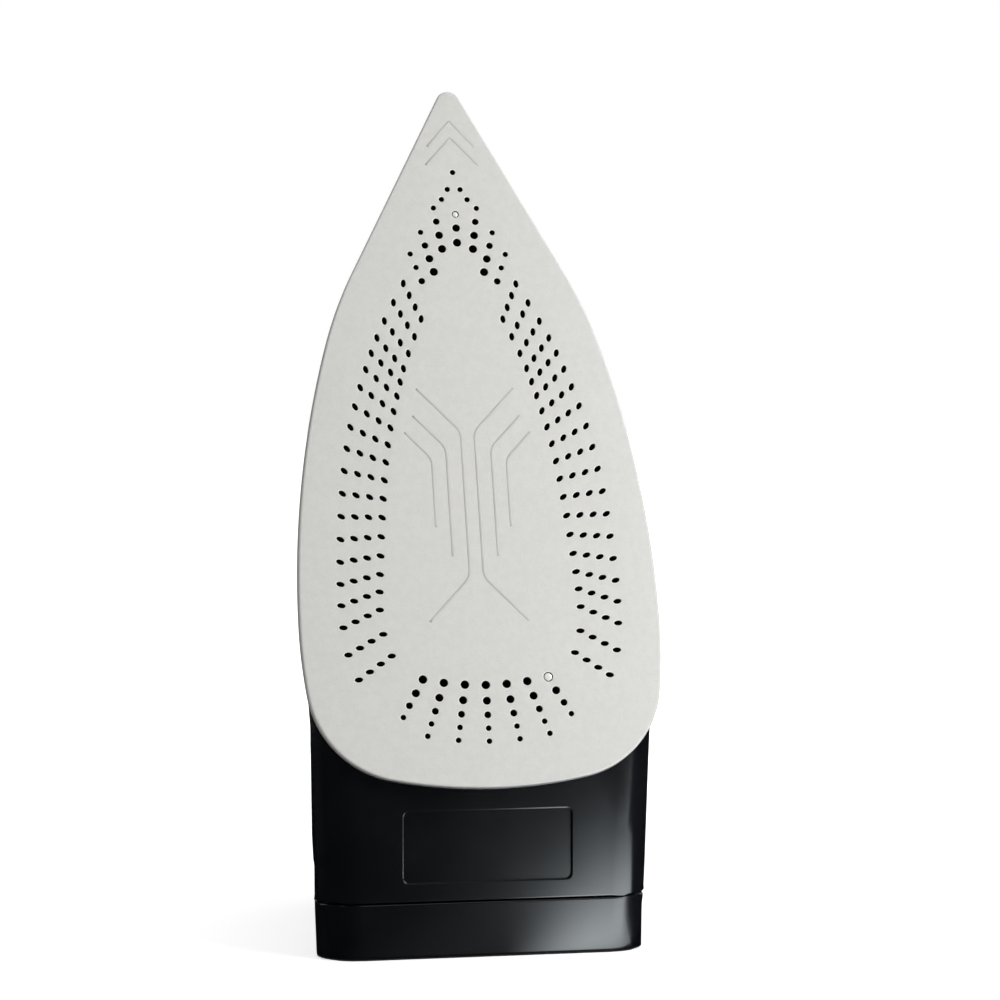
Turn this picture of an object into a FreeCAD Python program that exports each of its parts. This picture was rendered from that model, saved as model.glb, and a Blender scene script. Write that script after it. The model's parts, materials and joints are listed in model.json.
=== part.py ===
"""Steam iron for clothes, parked on its heel.

Every piece is drawn in the ironing frame: X across, Y from the sole's rear edge to the nose, and Z from the
sole's face up to the handle.  One placement, the stance, then stands the whole iron on its heel, leaning back.
Lengths are millimetres.
"""
import FreeCAD, Part
import math
import os
import re

V = FreeCAD.Vector
UP = V(0, 0, 1)
ACROSS = V(1, 0, 0)

doc = FreeCAD.newDocument("clothes_iron")

# ---------------------------------------------------------------------------------------------------------
# Driving dimensions
# ---------------------------------------------------------------------------------------------------------
SIZES = {
    # sole: a chain of tangent arcs, each with a radius and a turn in degrees, then a straight nose
    "heel_bow": 162, "heel_bow_turn": 11.5,
    "heel_corner": 33, "heel_corner_turn": 70.4,
    "hip": 173, "flank": 335, "flank_turn": 16.5,
    "shoulder": 144, "nose_turn": 28, "nose_tip": 3.6,
    "sole_thick": 3.2,
    # steam holes
    "slot_long": 2.35, "slot_wide": 1.4, "slot_pitch": 4.52, "slot_twist": 30, "slot_rows": 20,
    # stance
    "lean": 18, "heel_drop": 56.3, "heel_face": 6.8, "seam_height": 18.2,
    # heated base
    "base_inset": 7, "base_top": 16, "chamber_floor": 9.5, "cover_thick": 1.2,
    "element_radius": 3.6, "element_inset": 15, "element_level": 9.6, "element_bend": 30,
    # housing
    "wall": 2.2, "belt": 26, "deck": 58, "saddle": 3,
    "recess_wide": 56, "recess_high": 23.5, "recess_deep": 1.2, "recess_place": 36.4,
    # dial
    "dial_place": 70, "dial_radius": 26, "dial_high": 9.2, "shaft_radius": 3.5, "well_radius": 8,
    # steam valve and its lever
    "valve_place": 176, "needle_radius": 1.6, "needle_lift": 3, "lever_travel": 14,
    # pumps and buttons
    "pump_place": 155, "pump_aside": 10.2, "pump_radius": 7, "bore_radius": 5, "button_travel": 5,
    # cord gland
    "gland_radius": 9, "cord_radius": 3.6,
}

sheet = doc.addObject("Spreadsheet::Sheet", "Sizes")
for row, (alias, number) in enumerate(SIZES.items(), start=1):
    sheet.set("A%d" % row, alias)
    sheet.set("B%d" % row, str(number))
    sheet.setAlias("B%d" % row, alias)
doc.recompute()


def size(alias):
    """A driving dimension as a plain number."""
    return float(sheet.get(alias))


def bind(thing, **formulas):
    """Tie properties of an object to cells of the sheet, named in the formulas by their aliases."""
    for name, formula in formulas.items():
        thing.setExpression(name, re.sub("[a-z_]+", lambda word: cell(word.group()), formula))
    return thing


def cell(word):
    return "Sizes." + word if word in SIZES else word


# ---------------------------------------------------------------------------------------------------------
# Lines and arcs for sketches
# ---------------------------------------------------------------------------------------------------------
def line(start, end):
    return Part.LineSegment(V(start[0], start[1], 0), V(end[0], end[1], 0))


def circle(middle, radius):
    return Part.Circle(V(middle[0], middle[1], 0), UP, radius)


def arc(start, through, end):
    """An arc through three points, turned to run anticlockwise as sketches want it."""
    (ax, ay), (bx, by), (cx, cy) = start, through, end
    d = 2 * (ax * (by - cy) + bx * (cy - ay) + cx * (ay - by))
    a2, b2, c2 = ax * ax + ay * ay, bx * bx + by * by, cx * cx + cy * cy
    mx = (a2 * (by - cy) + b2 * (cy - ay) + c2 * (ay - by)) / d
    my = (a2 * (cx - bx) + b2 * (ax - cx) + c2 * (bx - ax)) / d
    first, last = math.atan2(ay - my, ax - mx), math.atan2(cy - my, cx - mx)
    if d < 0:
        first, last = last, first
    if last < first:
        last += 2 * math.pi
    return Part.ArcOfCircle(circle((mx, my), math.hypot(ax - mx, ay - my)), first, last)


def path(start, *steps):
    """Joined lines and arcs. A step is an end point, or a pair: a point to pass through and an end point."""
    edges = []
    here = start
    for step in steps:
        if isinstance(step[0], tuple):
            edges.append(arc(here, step[0], step[1]))
            here = step[1]
        else:
            edges.append(line(here, step))
            here = step
    return edges


def rectangle(x0, y0, x1, y1):
    return path((x0, y0), (x1, y0), (x1, y1), (x0, y1), (x0, y0))


def rounded(x0, y0, x1, y1, r):
    """A rectangle with round corners."""
    k = r * (1 - math.sqrt(0.5))
    return path((x0 + r, y0), (x1 - r, y0), ((x1 - k, y0 + k), (x1, y0 + r)), (x1, y1 - r),
                ((x1 - k, y1 - k), (x1 - r, y1)), (x0 + r, y1), ((x0 + k, y1 - k), (x0, y1 - r)),
                (x0, y0 + r), ((x0 + k, y0 + k), (x0 + r, y0)))


def tangent_chain(start, heading, bends):
    """Steps of a path whose arcs follow one another without a kink, and where the chain ends."""
    (x, y), angle = start, math.radians(heading)
    steps = []
    for radius, turn in bends:
        middle = (x - radius * math.sin(angle), y + radius * math.cos(angle))
        half, full = angle + math.radians(turn) / 2, angle + math.radians(turn)
        on = [(middle[0] + radius * math.sin(a), middle[1] - radius * math.cos(a)) for a in (half, full)]
        steps.append((on[0], on[1]))
        (x, y), angle = on[1], full
    return steps, (x, y), angle


def sole_side(inset, tip_radius, first_bend=0):
    """The right half of the sole's outline, moved inwards, from a bend of the heel to the nose."""
    heel_turns = [size("heel_bow_turn"), size("heel_corner_turn")]
    bends = [(size("heel_bow"), heel_turns[0]), (size("heel_corner"), heel_turns[1]),
             (size("hip"), 90 - sum(heel_turns)), (size("flank"), size("flank_turn")),
             (size("shoulder"), size("nose_turn") - size("flank_turn"))]
    bends = [(radius - inset, turn) for radius, turn in bends]
    steps, here, angle = tangent_chain((0, inset), 0, bends)
    start = (0, inset) if first_bend == 0 else steps[first_bend - 1][1]
    inward = (-math.sin(angle), math.cos(angle))
    rise = (tip_radius + here[0] * inward[0]) / inward[1]
    tip = (0, here[1] + rise)
    joint = (-tip_radius * inward[0], tip[1] - tip_radius * inward[1])
    half_way = math.radians(45)
    steps = steps[first_bend:] + [joint]
    crown = (0, tip[1] + tip_radius)
    side = (tip_radius * math.sin(half_way), tip[1] + tip_radius * math.cos(half_way))
    return start, steps, crown, side


def mirrored(start, steps):
    """The left half of a path drawn on the right, in the same order."""
    flip = [(((-a[0][0], a[0][1]), (-a[1][0], a[1][1])) if isinstance(a[0], tuple) else (-a[0], a[1]))
            for a in steps]
    return (-start[0], start[1]), flip


def sole_outline(inset=0.0, tip_radius=None):
    """The whole outline of the sole, moved inwards by the inset."""
    tip_radius = max(size("nose_tip") - inset, 1.2) if tip_radius is None else tip_radius
    start, steps, crown, side = sole_side(inset, tip_radius)
    right = path(start, *steps, (side, crown))
    left_start, left_steps = mirrored(start, steps)
    return right + path(left_start, *left_steps, ((-side[0], side[1]), crown))


# ---------------------------------------------------------------------------------------------------------
# Drawing planes and simple solids
# ---------------------------------------------------------------------------------------------------------
SIDEWAYS = FreeCAD.Rotation(V(0, 1, 0), 90)
TURNS = {"XY": FreeCAD.Rotation(), "XZ": FreeCAD.Rotation(ACROSS, 90), "YZ": FreeCAD.Rotation(V(1, 1, 1), 120)}
NORMALS = {"XY": UP, "XZ": V(0, -1, 0), "YZ": ACROSS}


def sketch(name, edges, plane="XY", offset=0.0):
    """A sketch that stands alone, on a plane moved along its normal."""
    drawing = doc.addObject("Sketcher::SketchObject", name)
    drawing.addGeometry(edges, False)
    drawing.Placement = FreeCAD.Placement(NORMALS[plane] * offset, TURNS[plane])
    return drawing


def extrude(name, drawing, direction, ahead, behind="0", taper=0.0):
    solid = doc.addObject("Part::Extrusion", name)
    solid.Base = drawing
    solid.DirMode = "Custom"
    solid.Dir = direction
    solid.Solid = True
    solid.TaperAngle = taper
    return bind(solid, LengthFwd=ahead, LengthRev=behind)


def plate(name, edges, bottom, thick, taper=0.0):
    """A flat piece: an outline at a height, and its thickness as a formula."""
    return extrude(name, sketch(name + "_outline", edges, "XY", bottom), UP, thick, taper=taper)


def slab(name, edges, half_width):
    """A side view carried across the iron by the same distance to the left and to the right."""
    return extrude(name, sketch(name + "_profile", edges, "YZ"), ACROSS, half_width, half_width)


def cylinder(name, radius, height, place, turn=FreeCAD.Rotation()):
    solid = doc.addObject("Part::Cylinder", name)
    solid.Placement = FreeCAD.Placement(place, turn)
    return bind(solid, Radius=radius, Height=height)


def rod(name, radius, height, place, turn=FreeCAD.Rotation(), sides=8):
    """A hidden pin, post or tube that is drawn with flat sides, to keep the model light."""
    solid = doc.addObject("Part::Prism", name)
    solid.Polygon = sides
    solid.Placement = FreeCAD.Placement(place, turn)
    return bind(solid, Circumradius=str(radius), Height=str(height))


def bore(name, radius, height, place, turn=FreeCAD.Rotation(), sides=8):
    """A hidden bore with flat sides that a round pin of the same radius still fits."""
    return rod(name, "(%s) / %.5f" % (radius, math.cos(math.pi / sides)), height, place, turn, sides)


def box(name, low, high):
    solid = doc.addObject("Part::Box", name)
    solid.Length, solid.Width, solid.Height = (high[i] - low[i] for i in range(3))
    solid.Placement.Base = V(*low)
    return solid


def faceted(name, corners, place=V(), turn=FreeCAD.Rotation(), sides=8):
    """A small turned piece with flat sides, from the corners of its section: radius and height."""
    angles = [2 * math.pi * i / sides for i in range(sides)]
    rims = [[V(r * math.cos(a), r * math.sin(a), z) for a in angles] for r, z in corners]
    faces = []
    for low, high in zip(rims, rims[1:] + rims[:1]):
        for i in range(sides):
            loop = [low[i - 1], low[i], high[i], high[i - 1]]
            loop = [point for k, point in enumerate(loop) if (point - loop[k - 1]).Length > 1e-6]
            if len(loop) > 2:
                faces.append(Part.Face(Part.makePolygon(loop + loop[:1])))
    solid = Part.Solid(Part.Shell(faces))
    if solid.Volume < 0:
        solid.reverse()
    made = doc.addObject("Part::Feature", name)
    made.Shape = solid.removeSplitter()
    made.Placement = FreeCAD.Placement(place, turn)
    return made


def stepped(*rings):
    """Corners of a turned piece with a plain stem: outer radius and top of each step, from the bottom."""
    corners = [(0.0, rings[0][1])]
    level = rings[0][1]
    for radius, top in rings[1:]:
        corners += [(radius, level), (radius, top)]
        level = top
    return corners + [(0.0, level)]


def ring(name, inner, outer, bottom, top, place=V(), sides=8):
    return faceted(name, [(inner, bottom), (outer, bottom), (outer, top), (inner, top)], place, sides=sides)


def cut(name, base, *tools):
    """What is left of a solid when the tools are taken away, one after the other."""
    for number, tool in enumerate(tools):
        rest = doc.addObject("Part::Cut", name if number == len(tools) - 1 else "%s_cut_%d" % (name, number))
        rest.Base = base
        rest.Tool = tool
        base = rest
    return base


def fuse(name, *parts):
    result = doc.addObject("Part::MultiFuse", name)
    result.Shapes = list(parts)
    return result


def common(name, first, *others):
    """What all the solids share, taken two at a time."""
    for number, other in enumerate(others):
        both = doc.addObject("Part::Common", name if number == len(others) - 1 else "%s_%d" % (name, number))
        both.Base = first
        both.Tool = other
        first = both
    return first


def group(name, solids):
    """Like pieces that stay separate solids in one node."""
    result = doc.addObject("Part::Compound", name)
    result.Links = list(solids)
    return result


def bar(name, corners, level, radius):
    """A six-sided bar that runs straight from corner to corner in a level plane, mitred at each."""
    spine = sketch(name + "_spine", path(corners[0], *corners[1:]), "XY", level)
    section = doc.addObject("Sketcher::SketchObject", name + "_section")
    rim = [(radius * math.cos(i * math.pi / 3), radius * math.sin(i * math.pi / 3)) for i in range(6)]
    section.addGeometry(path(rim[-1], *rim), False)
    (x, y), (ahead_x, ahead_y) = corners[:2]
    heading = FreeCAD.Rotation(UP, math.degrees(math.atan2(ahead_y - y, ahead_x - x)))
    section.Placement = FreeCAD.Placement(V(x, y, level), heading.multiply(TURNS["YZ"]))
    sweep = doc.addObject("Part::Sweep", name)
    sweep.Sections = [section]
    sweep.Spine = (spine, [])
    sweep.Solid = True
    sweep.Transition = "Right corner"
    return sweep


def hose(name, radius, *points):
    """A six-sided hose or wire through points: straight runs joined by arcs that are tangent to both."""
    points = [V(*p) for p in points]
    edges = []
    here = points[0]
    for before, corner, after in zip(points, points[1:], points[2:]):
        ahead, away = (corner - before).normalize(), (after - corner).normalize()
        turn = ahead.getAngle(away)
        reach = 0.45 * min((corner - before).Length, (after - corner).Length)
        bend = reach / math.tan(turn / 2)
        start, end = corner - ahead * reach, corner + away * reach
        middle = start + (away - ahead * ahead.dot(away)).normalize() * bend
        through = middle + (corner - middle).normalize() * bend
        edges += [Part.makeLine(here, start), Part.Arc(start, through, end).toShape()]
        here = end
    edges.append(Part.makeLine(here, points[-1]))
    spine = Part.Wire(edges)
    turn = FreeCAD.Rotation(UP, points[1] - points[0])
    corners = [V(radius * math.cos(i * math.pi / 3), radius * math.sin(i * math.pi / 3), 0) for i in range(7)]
    rim = Part.makePolygon([points[0] + turn.multVec(corner) for corner in corners])
    tube = doc.addObject("Part::Feature", name)
    tube.Shape = spine.makePipeShell([rim], True, False)
    return tube


# ---------------------------------------------------------------------------------------------------------
# Stance: the iron stands on its heel and leans back, so row height runs from heel to nose
# ---------------------------------------------------------------------------------------------------------
LEAN = math.radians(size("lean"))
STANCE_TURN = FreeCAD.Rotation(180, 0, 90 + size("lean"))
UPRIGHT = FreeCAD.Placement(V(), STANCE_TURN.inverted())


def standing(depth, height):
    """Ironing-frame (Y, Z) of a point of the parked iron: depth from the sole and height over the floor."""
    rise = height - size("heel_drop")
    return (math.sin(LEAN) * depth + math.cos(LEAN) * rise, math.cos(LEAN) * depth - math.sin(LEAN) * rise)


# ---------------------------------------------------------------------------------------------------------
# The body form that the housing, the tank and the rear cover are all taken from
# ---------------------------------------------------------------------------------------------------------
SKIRT_INSET = 3.0
SKIRT_TAPER = 5.0
TANK_TAPER = 20.0
HEEL_CORNER = 14.0
HEEL_WIDE = 53.2
HEEL_DEEP = 38.0
TOP_OF_FORM = 92.0


def body_plan(inset):
    """Plan outline of the body: the sole's outline moved in, with sides that run straight back to the heel."""
    start, steps, crown, side = sole_side(SKIRT_INSET + inset, 2.0, first_bend=3)
    back = (53.6 - inset, -75)
    right = path((0, -75), back, start, *steps, (side, crown))
    left_start, left_steps = mirrored(back, [start] + steps)
    return right + path((0, -75), left_start, *left_steps, ((-side[0], side[1]), crown))


def body_side(inset):
    """Side outline: upright heel face, level underside, nose, deck, and the hump that runs into the handle."""
    wall = inset
    heel_low = standing(size("heel_face") + wall, -2 if inset == 0 else wall)
    heel_high = standing(100, -2 if inset == 0 else wall)
    slope = math.tan(LEAN)
    under = size("sole_thick") + 0.6 + wall
    toe = (size("heel_face") + wall) / math.cos(LEAN) / slope - under / slope
    deck = size("deck") - wall
    return path(heel_low, (toe, under), (228 - wall, under), (230 - wall, 12),
                ((200 - 0.6 * wall, 40 - wall), (150, deck)), (42, deck),
                ((6, deck + 6.5), (-26 + 0.3 * wall, TOP_OF_FORM - wall)), heel_high, heel_low)


def heel_plan(inset):
    """Level section of the parked iron: a flat face whose corners turn round into the sides."""
    face, wide, r = size("heel_face") + inset, 58.0 - inset, HEEL_CORNER - inset
    k = r * (1 - math.sqrt(0.5))
    return path((r - wide, face), (wide - r, face), ((wide - k, face + k), (wide, face + r)), (wide, 260),
                (-wide, 260), (-wide, face + r), ((k - wide, face + k), (r - wide, face)))


def heel_block(name, inset):
    """The heel keeps its full width over some depth before it narrows as the tank does."""
    wide, low, spare = HEEL_WIDE - inset, -size("heel_drop"), 2.0
    taper = math.tan(math.radians(TANK_TAPER))
    side = [(wide + spare, 0), (wide + spare, HEEL_DEEP - spare / taper), (wide - 80 * taper, HEEL_DEEP + 80)]
    level = sketch(name + "_level", path((-side[-1][0], side[-1][1]), *[(-x, y) for x, y in reversed(side[:-1])],
                                         *side, (-side[-1][0], side[-1][1])))
    level.Placement = UPRIGHT
    right = [(wide - 1.7, low - 4), (wide, low + 62), (wide - 7, low + 95), (wide - 33, low + 120)]
    left = [(-x, y) for x, y in reversed(right)]
    front = sketch(name + "_front", path(left[-1], *right, *left))
    front.Placement = FreeCAD.Placement(V(), UPRIGHT.Rotation.multiply(TURNS["XZ"]))
    return common(name, extrude(name + "_column", level, UPRIGHT.Rotation.multVec(UP), "100", "70"),
                  extrude(name + "_front_prism", front, UPRIGHT.Rotation.multVec(V(0, 1, 0)), "130", "10"))


def body_form(name, inset=0.0):
    skirt = plate(name + "_skirt", body_plan(inset), 2.0, "belt - 2", -SKIRT_TAPER)
    lean_in = inset + (size("belt") - 2) * math.tan(math.radians(SKIRT_TAPER))
    upper = plate(name + "_upper", body_plan(lean_in), size("belt"), "%s - belt" % TOP_OF_FORM, -TANK_TAPER)
    prism = sketch(name + "_heel_plan", heel_plan(inset))
    prism.Placement = UPRIGHT
    column = extrude(name + "_heel", prism, UPRIGHT.Rotation.multVec(UP), "300", "100")
    side = slab(name + "_side", body_side(inset), "70")
    plan = fuse(name + "_plan", skirt, upper, heel_block(name + "_block", inset))
    return common(name, plan, side, column)


# ---------------------------------------------------------------------------------------------------------
# Handle: a side view with the finger gap, given its width by a plan view
# ---------------------------------------------------------------------------------------------------------
HANDLE_WALL = 3.0
CONSOLE_START = 128.0


def handle_side(inset):
    """Outer side view, from the nose over the grip and down to the heel."""
    low = standing(40, -2 + inset)
    high = standing(104 - inset, -2 + inset)
    return path((229 - 1.2 * inset, 20), (190 - 1.2 * inset, 92 - 0.5 * inset),
                ((168 - 0.8 * inset, 121 - 0.8 * inset), (136, 139 - inset)),
                ((66, 147.5 - inset), (6, 140 - inset)),
                ((-12 + 0.6 * inset, 132 - 0.8 * inset), high), low, (-20, 40), (229 - 1.2 * inset, 20))


def finger_gap(inset):
    """The opening that the fingers go through; the inset widens it."""
    floor = size("deck") + size("saddle") - inset
    return path((22, floor), (136, floor), ((144.2 + inset, floor + 2.8), (146.8 + inset, floor + 10)),
                (138 + inset, 98), ((134.5 + inset, 107.5), (126, 111.5 + inset)),
                ((74, 116.5 + inset), (26, 113 + inset)), ((15.5 - inset, 109), (11.5 - inset, 99)),
                (9 - inset, floor + 11), ((12.2 - inset, floor + 3), (22, floor)))


def handle_plan(inset):
    """Plan view: wide at the heel, slim at the grip, wider round the buttons, narrow at the nose."""
    right = [((40 - inset, -56), (27 - inset, -26)), ((18.6 - inset, 8), (17 - inset, 40)), (17 - inset, 108),
             ((18.8 - inset, 122), (22 - inset, 140)), (22.5 - inset, 172), (12 - inset, 216), (5 - inset, 232)]
    back = (46 - inset, -75)
    left_back, left = mirrored(back, right)
    return (path(back, *right) + path(left_back, *left) + [line(back, left_back)]
            + [line(right[-1], left[-1])])


def handle_form(name, inset=0.0):
    outer = slab(name + "_side", handle_side(inset), "60")
    gap = slab(name + "_gap", finger_gap(inset), "80")
    above = plate(name + "_plan", handle_plan(inset), 10.0, "150")
    return common(name, cut(name + "_ring", outer, gap), above)


def parting_side(lift):
    """Region above the line where the upper shell of the handle sits on the lower one."""
    return path((-60, 112 + lift), (-14, 123 + lift), ((60, 133 + lift), (CONSOLE_START, 126 + lift)),
                ((152, 118 + lift), (172, 98 + lift)), (204, 84 + lift), (240, 84 + lift), (240, 170),
                (-60, 170), (-60, 112 + lift))


# ---------------------------------------------------------------------------------------------------------
# Shared shapes and places
# ---------------------------------------------------------------------------------------------------------
PIECES = []


def piece(label, solid):
    """Name a finished sub-part. It is stood on the heel at the end."""
    solid.Label = label
    PIECES.append(solid)


def parked_box(name, low, high):
    """A box square to the parked iron: across, depth and height over the floor."""
    solid = box(name, (0, 0, 0), tuple(high[i] - low[i] for i in range(3)))
    corner = V(low[0], low[1], low[2] - size("heel_drop"))
    solid.Placement = UPRIGHT.multiply(FreeCAD.Placement(corner, FreeCAD.Rotation()))
    return solid


WALL = size("wall")
DECK = size("deck")
BELT = size("belt")
BASE_TOP = size("base_top")
SEAM = size("seam_height")
VALVE = size("valve_place")
DIAL = size("dial_place")
PUMP = size("pump_place")
PUMP_SIDE = size("pump_aside")
PUMP_TOP = 104.0
BURST_SIDE = 12.0
SPRING_SEAT = 51.2
BUTTON_UNDER = 112.5
FRAME_BOTTOM, FRAME_TOP, FRAME_NOSE = 22.0, 24.2, 206
COVER_BOTTOM = BASE_TOP + 0.5
COVER_TOP = COVER_BOTTOM + size("cover_thick")

# the front slope carries the filler lid and the nozzle: its angle, and its line from the lever to the nose
SLOPE_TOP, SLOPE_END = (190.0, 92.0), (229.0, 20.0)
SLOPE_ANGLE = math.degrees(math.atan2(SLOPE_TOP[1] - SLOPE_END[1], SLOPE_END[0] - SLOPE_TOP[0]))
ON_SLOPE = FreeCAD.Rotation(ACROSS, -SLOPE_ANGLE)


def slope_point(y):
    along = (y - SLOPE_TOP[0]) / (SLOPE_END[0] - SLOPE_TOP[0])
    return V(0, y, SLOPE_TOP[1] + along * (SLOPE_END[1] - SLOPE_TOP[1]))


FILLER = FreeCAD.Placement(slope_point(209), ON_SLOPE)
NOZZLE = FreeCAD.Placement(slope_point(221), ON_SLOPE)
GLAND = FreeCAD.Placement(V(0, 4, 129), FreeCAD.Rotation(ACROSS, -size("lean")))


def placed(place, solid):
    """Move a solid that was drawn about the origin to a place on the iron."""
    solid.Placement = place.multiply(solid.Placement)
    return solid


body = body_form("body_form")
core = body_form("body_core", WALL)
handle = handle_form("handle_form")
hollow = handle_form("handle_hollow", HANDLE_WALL)
heel_zone = parked_box("heel_zone", (-90, -30, -20), (90, 160, SEAM + 0.4))


# ---------------------------------------------------------------------------------------------------------
# Sole
# ---------------------------------------------------------------------------------------------------------
SOLE_SCREWS = [(0, 196.1), (-21, 36.1)]
SCREW_HOLE = 1.6
SCREW_SEAT = 1.7


def steam_hole(x, y, long, wide, sides, turn=0.0):
    """The outline of a steam hole, drawn with a few straight sides."""
    c, s = math.cos(turn), math.sin(turn)
    angles = [2 * math.pi * i / sides for i in range(sides)]
    corners = [(long * math.cos(a), wide * math.sin(a)) for a in angles]
    return Part.makePolygon([V(x + c * a - s * b, y + s * a + c * b) for a, b in corners + corners[:1]])


def slot_rows():
    """Lens-shaped slots in rows of four. The rows turn evenly as their middles follow a curve to the heel."""
    rows = int(size("slot_rows"))
    through = {0: (16.6, 165.3), 4: (26.9, 142.0), 9: (35.0, 111.7), 14: (38.8, 76.9), 17: (39.7, 56.3),
               19: (36.2, 40.1)}
    curve = Part.BSplineCurve()
    curve.interpolate(Points=[V(x, y, 0) for x, y in through.values()], Parameters=list(through))
    long, wide, twist = size("slot_long") / 2, size("slot_wide") / 2, math.radians(size("slot_twist"))
    outlines = []
    for row in range(rows):
        middle = curve.value(row)
        angle = math.radians(66.8 - 101.3 * row / (rows - 1))
        for number in range(4):
            away = (number - 1.5) * size("slot_pitch")
            x, y = middle.x + away * math.cos(angle), middle.y + away * math.sin(angle)
            for side in (1, -1):
                outlines.append(steam_hole(side * x, y, long, wide, 4, side * (angle + twist)))
    return outlines


HOLE_RADII = [1.25, 1.15, 0.95, 0.75, 0.75]
NOSE_ROWS = [((7.4, 198.3), (-0.7, -4.85), 4), ((12.3, 189.6), (-1.23, -4.67), 4),
             ((16.3, 181.9), (-1.7, -4.8), 3), ((2.2, 205.0), (2.2, -3.6), 2)]


def nose_holes():
    """Rows of round holes that grow towards the middle of the nose."""
    holes = []
    for start, step, count in NOSE_ROWS:
        for number in range(count):
            radius = HOLE_RADII[3 - number] if count == 4 else HOLE_RADII[3 - number // 2]
            holes.append(((start[0] + number * step[0], start[1] + number * step[1]), radius))
    return holes


def heel_holes(column):
    """One column of the fan of round holes at the heel, which shrink towards the edge."""
    bow, middle = 96.0, 129.8
    at, lean = math.radians(4.15 * column), math.radians(10 * column)
    head = (bow * math.sin(at), middle - bow * math.cos(at))
    holes = []
    for radius, along in zip(HOLE_RADII, (0, 5.2, 9.9, 14.3, 18.6)):
        if column < 3 or along < 18:
            holes.append(((head[0] + along * math.sin(lean), head[1] - along * math.cos(lean)), radius))
    return holes


def soleplate():
    right = nose_holes() + heel_holes(1) + heel_holes(2) + heel_holes(3)[1:]
    middle = [((0, 211.1), HOLE_RADII[3]), ((0, 191.2), HOLE_RADII[1]), ((0, 186.0), HOLE_RADII[0])]
    middle += heel_holes(0)
    spare = heel_holes(3)[0]
    round_holes = right + [((-x, y), radius) for (x, y), radius in right] + middle + [spare]
    outlines = slot_rows() + [steam_hole(x, y, radius, radius, 6) for (x, y), radius in round_holes]
    steam_holes = doc.addObject("Part::Feature", "steam_holes")
    steam_holes.Shape = Part.makeCompound([Part.Face(o).extrude(UP * size("sole_thick")) for o in outlines])
    blank = plate("sole_blank", sole_outline(), 0.0, "sole_thick")
    screw_holes = []
    for i, (x, y) in enumerate(SOLE_SCREWS):
        screw_holes.append(bore("sole_screw_hole_%d" % i, SCREW_HOLE, SCREW_SEAT, V(x, y, 0), sides=12))
        screw_holes.append(bore("sole_shank_hole_%d" % i, 1.1, "sole_thick", V(x, y, 0)))
    piece("soleplate", cut("soleplate", blank, steam_holes, group("sole_screw_holes", screw_holes)))


def screw(name, x, y, head_radius, head_bottom, head_top, shank_radius, shank_end):
    """A pan-head screw that points down or up from its head."""
    low, high = min(shank_end, head_bottom), max(shank_end, head_top)
    if shank_end < head_bottom:
        section = stepped((0.0, low), (shank_radius, head_bottom), (head_radius, high))
    else:
        section = stepped((0.0, head_bottom), (head_radius, head_top), (shank_radius, high))
    return faceted(name, section, V(x, y, 0))


def sole_screws():
    screws = [screw("sole_screw_%d" % i, x, y, SCREW_HOLE - 0.15, 0.3, SCREW_SEAT, 1.0, 5.8)
              for i, (x, y) in enumerate(SOLE_SCREWS)]
    piece("sole_screws", group("sole_screws", screws))


soleplate()
sole_screws()


# ---------------------------------------------------------------------------------------------------------
# Heated base: a casting with the element in it, a steam chamber, and what is screwed on top
# ---------------------------------------------------------------------------------------------------------
CHAMBER_INSET = 25.0
CHAMBER_START = 92.0
COVER_SCREWS = [(16, 104), (-16, 104), (12, 143), (-12, 143)]
FRAME_POSTS = [(36, 52), (-36, 52), (36, 140), (-36, 140)]
POST_SCREW_END = 13.7


def element_solids(name):
    """The tubular element: a bar in short straight runs, with its two ends turned up at the heel."""
    inset, bend = size("element_inset"), size("element_bend")
    start, steps, crown, side = sole_side(inset, 12.0, first_bend=3)
    turn = bend * (1 - math.sqrt(0.5))
    foot = (start[0] - bend, start[1] - bend)
    right = [foot, (start[0] - turn, start[1] - bend + turn), start]
    for step in steps:
        right += step if isinstance(step[0], tuple) else [step]
    right += [side, crown]
    left = [(-x, y) for x, y in reversed(right[:-1])]
    bent = bar(name + "_bar", right + left, size("element_level"), size("element_radius"))
    legs = []
    for i, x in enumerate((foot[0], -foot[0])):
        at = V(x, foot[1], size("element_level"))
        legs.append(rod("%s_leg_%d" % (name, i), "element_radius", "16.4", at, sides=6))
    return fuse(name, bent, *legs), foot


element, LEG_AT = element_solids("element")


def heating_element():
    pins = [rod("element_pin_%d" % i, "1.3", "8", V(x, LEG_AT[1], 26), sides=6)
            for i, x in enumerate((LEG_AT[0], -LEG_AT[0]))]
    piece("heating_element", fuse("heating_element", element, *pins))


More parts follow.
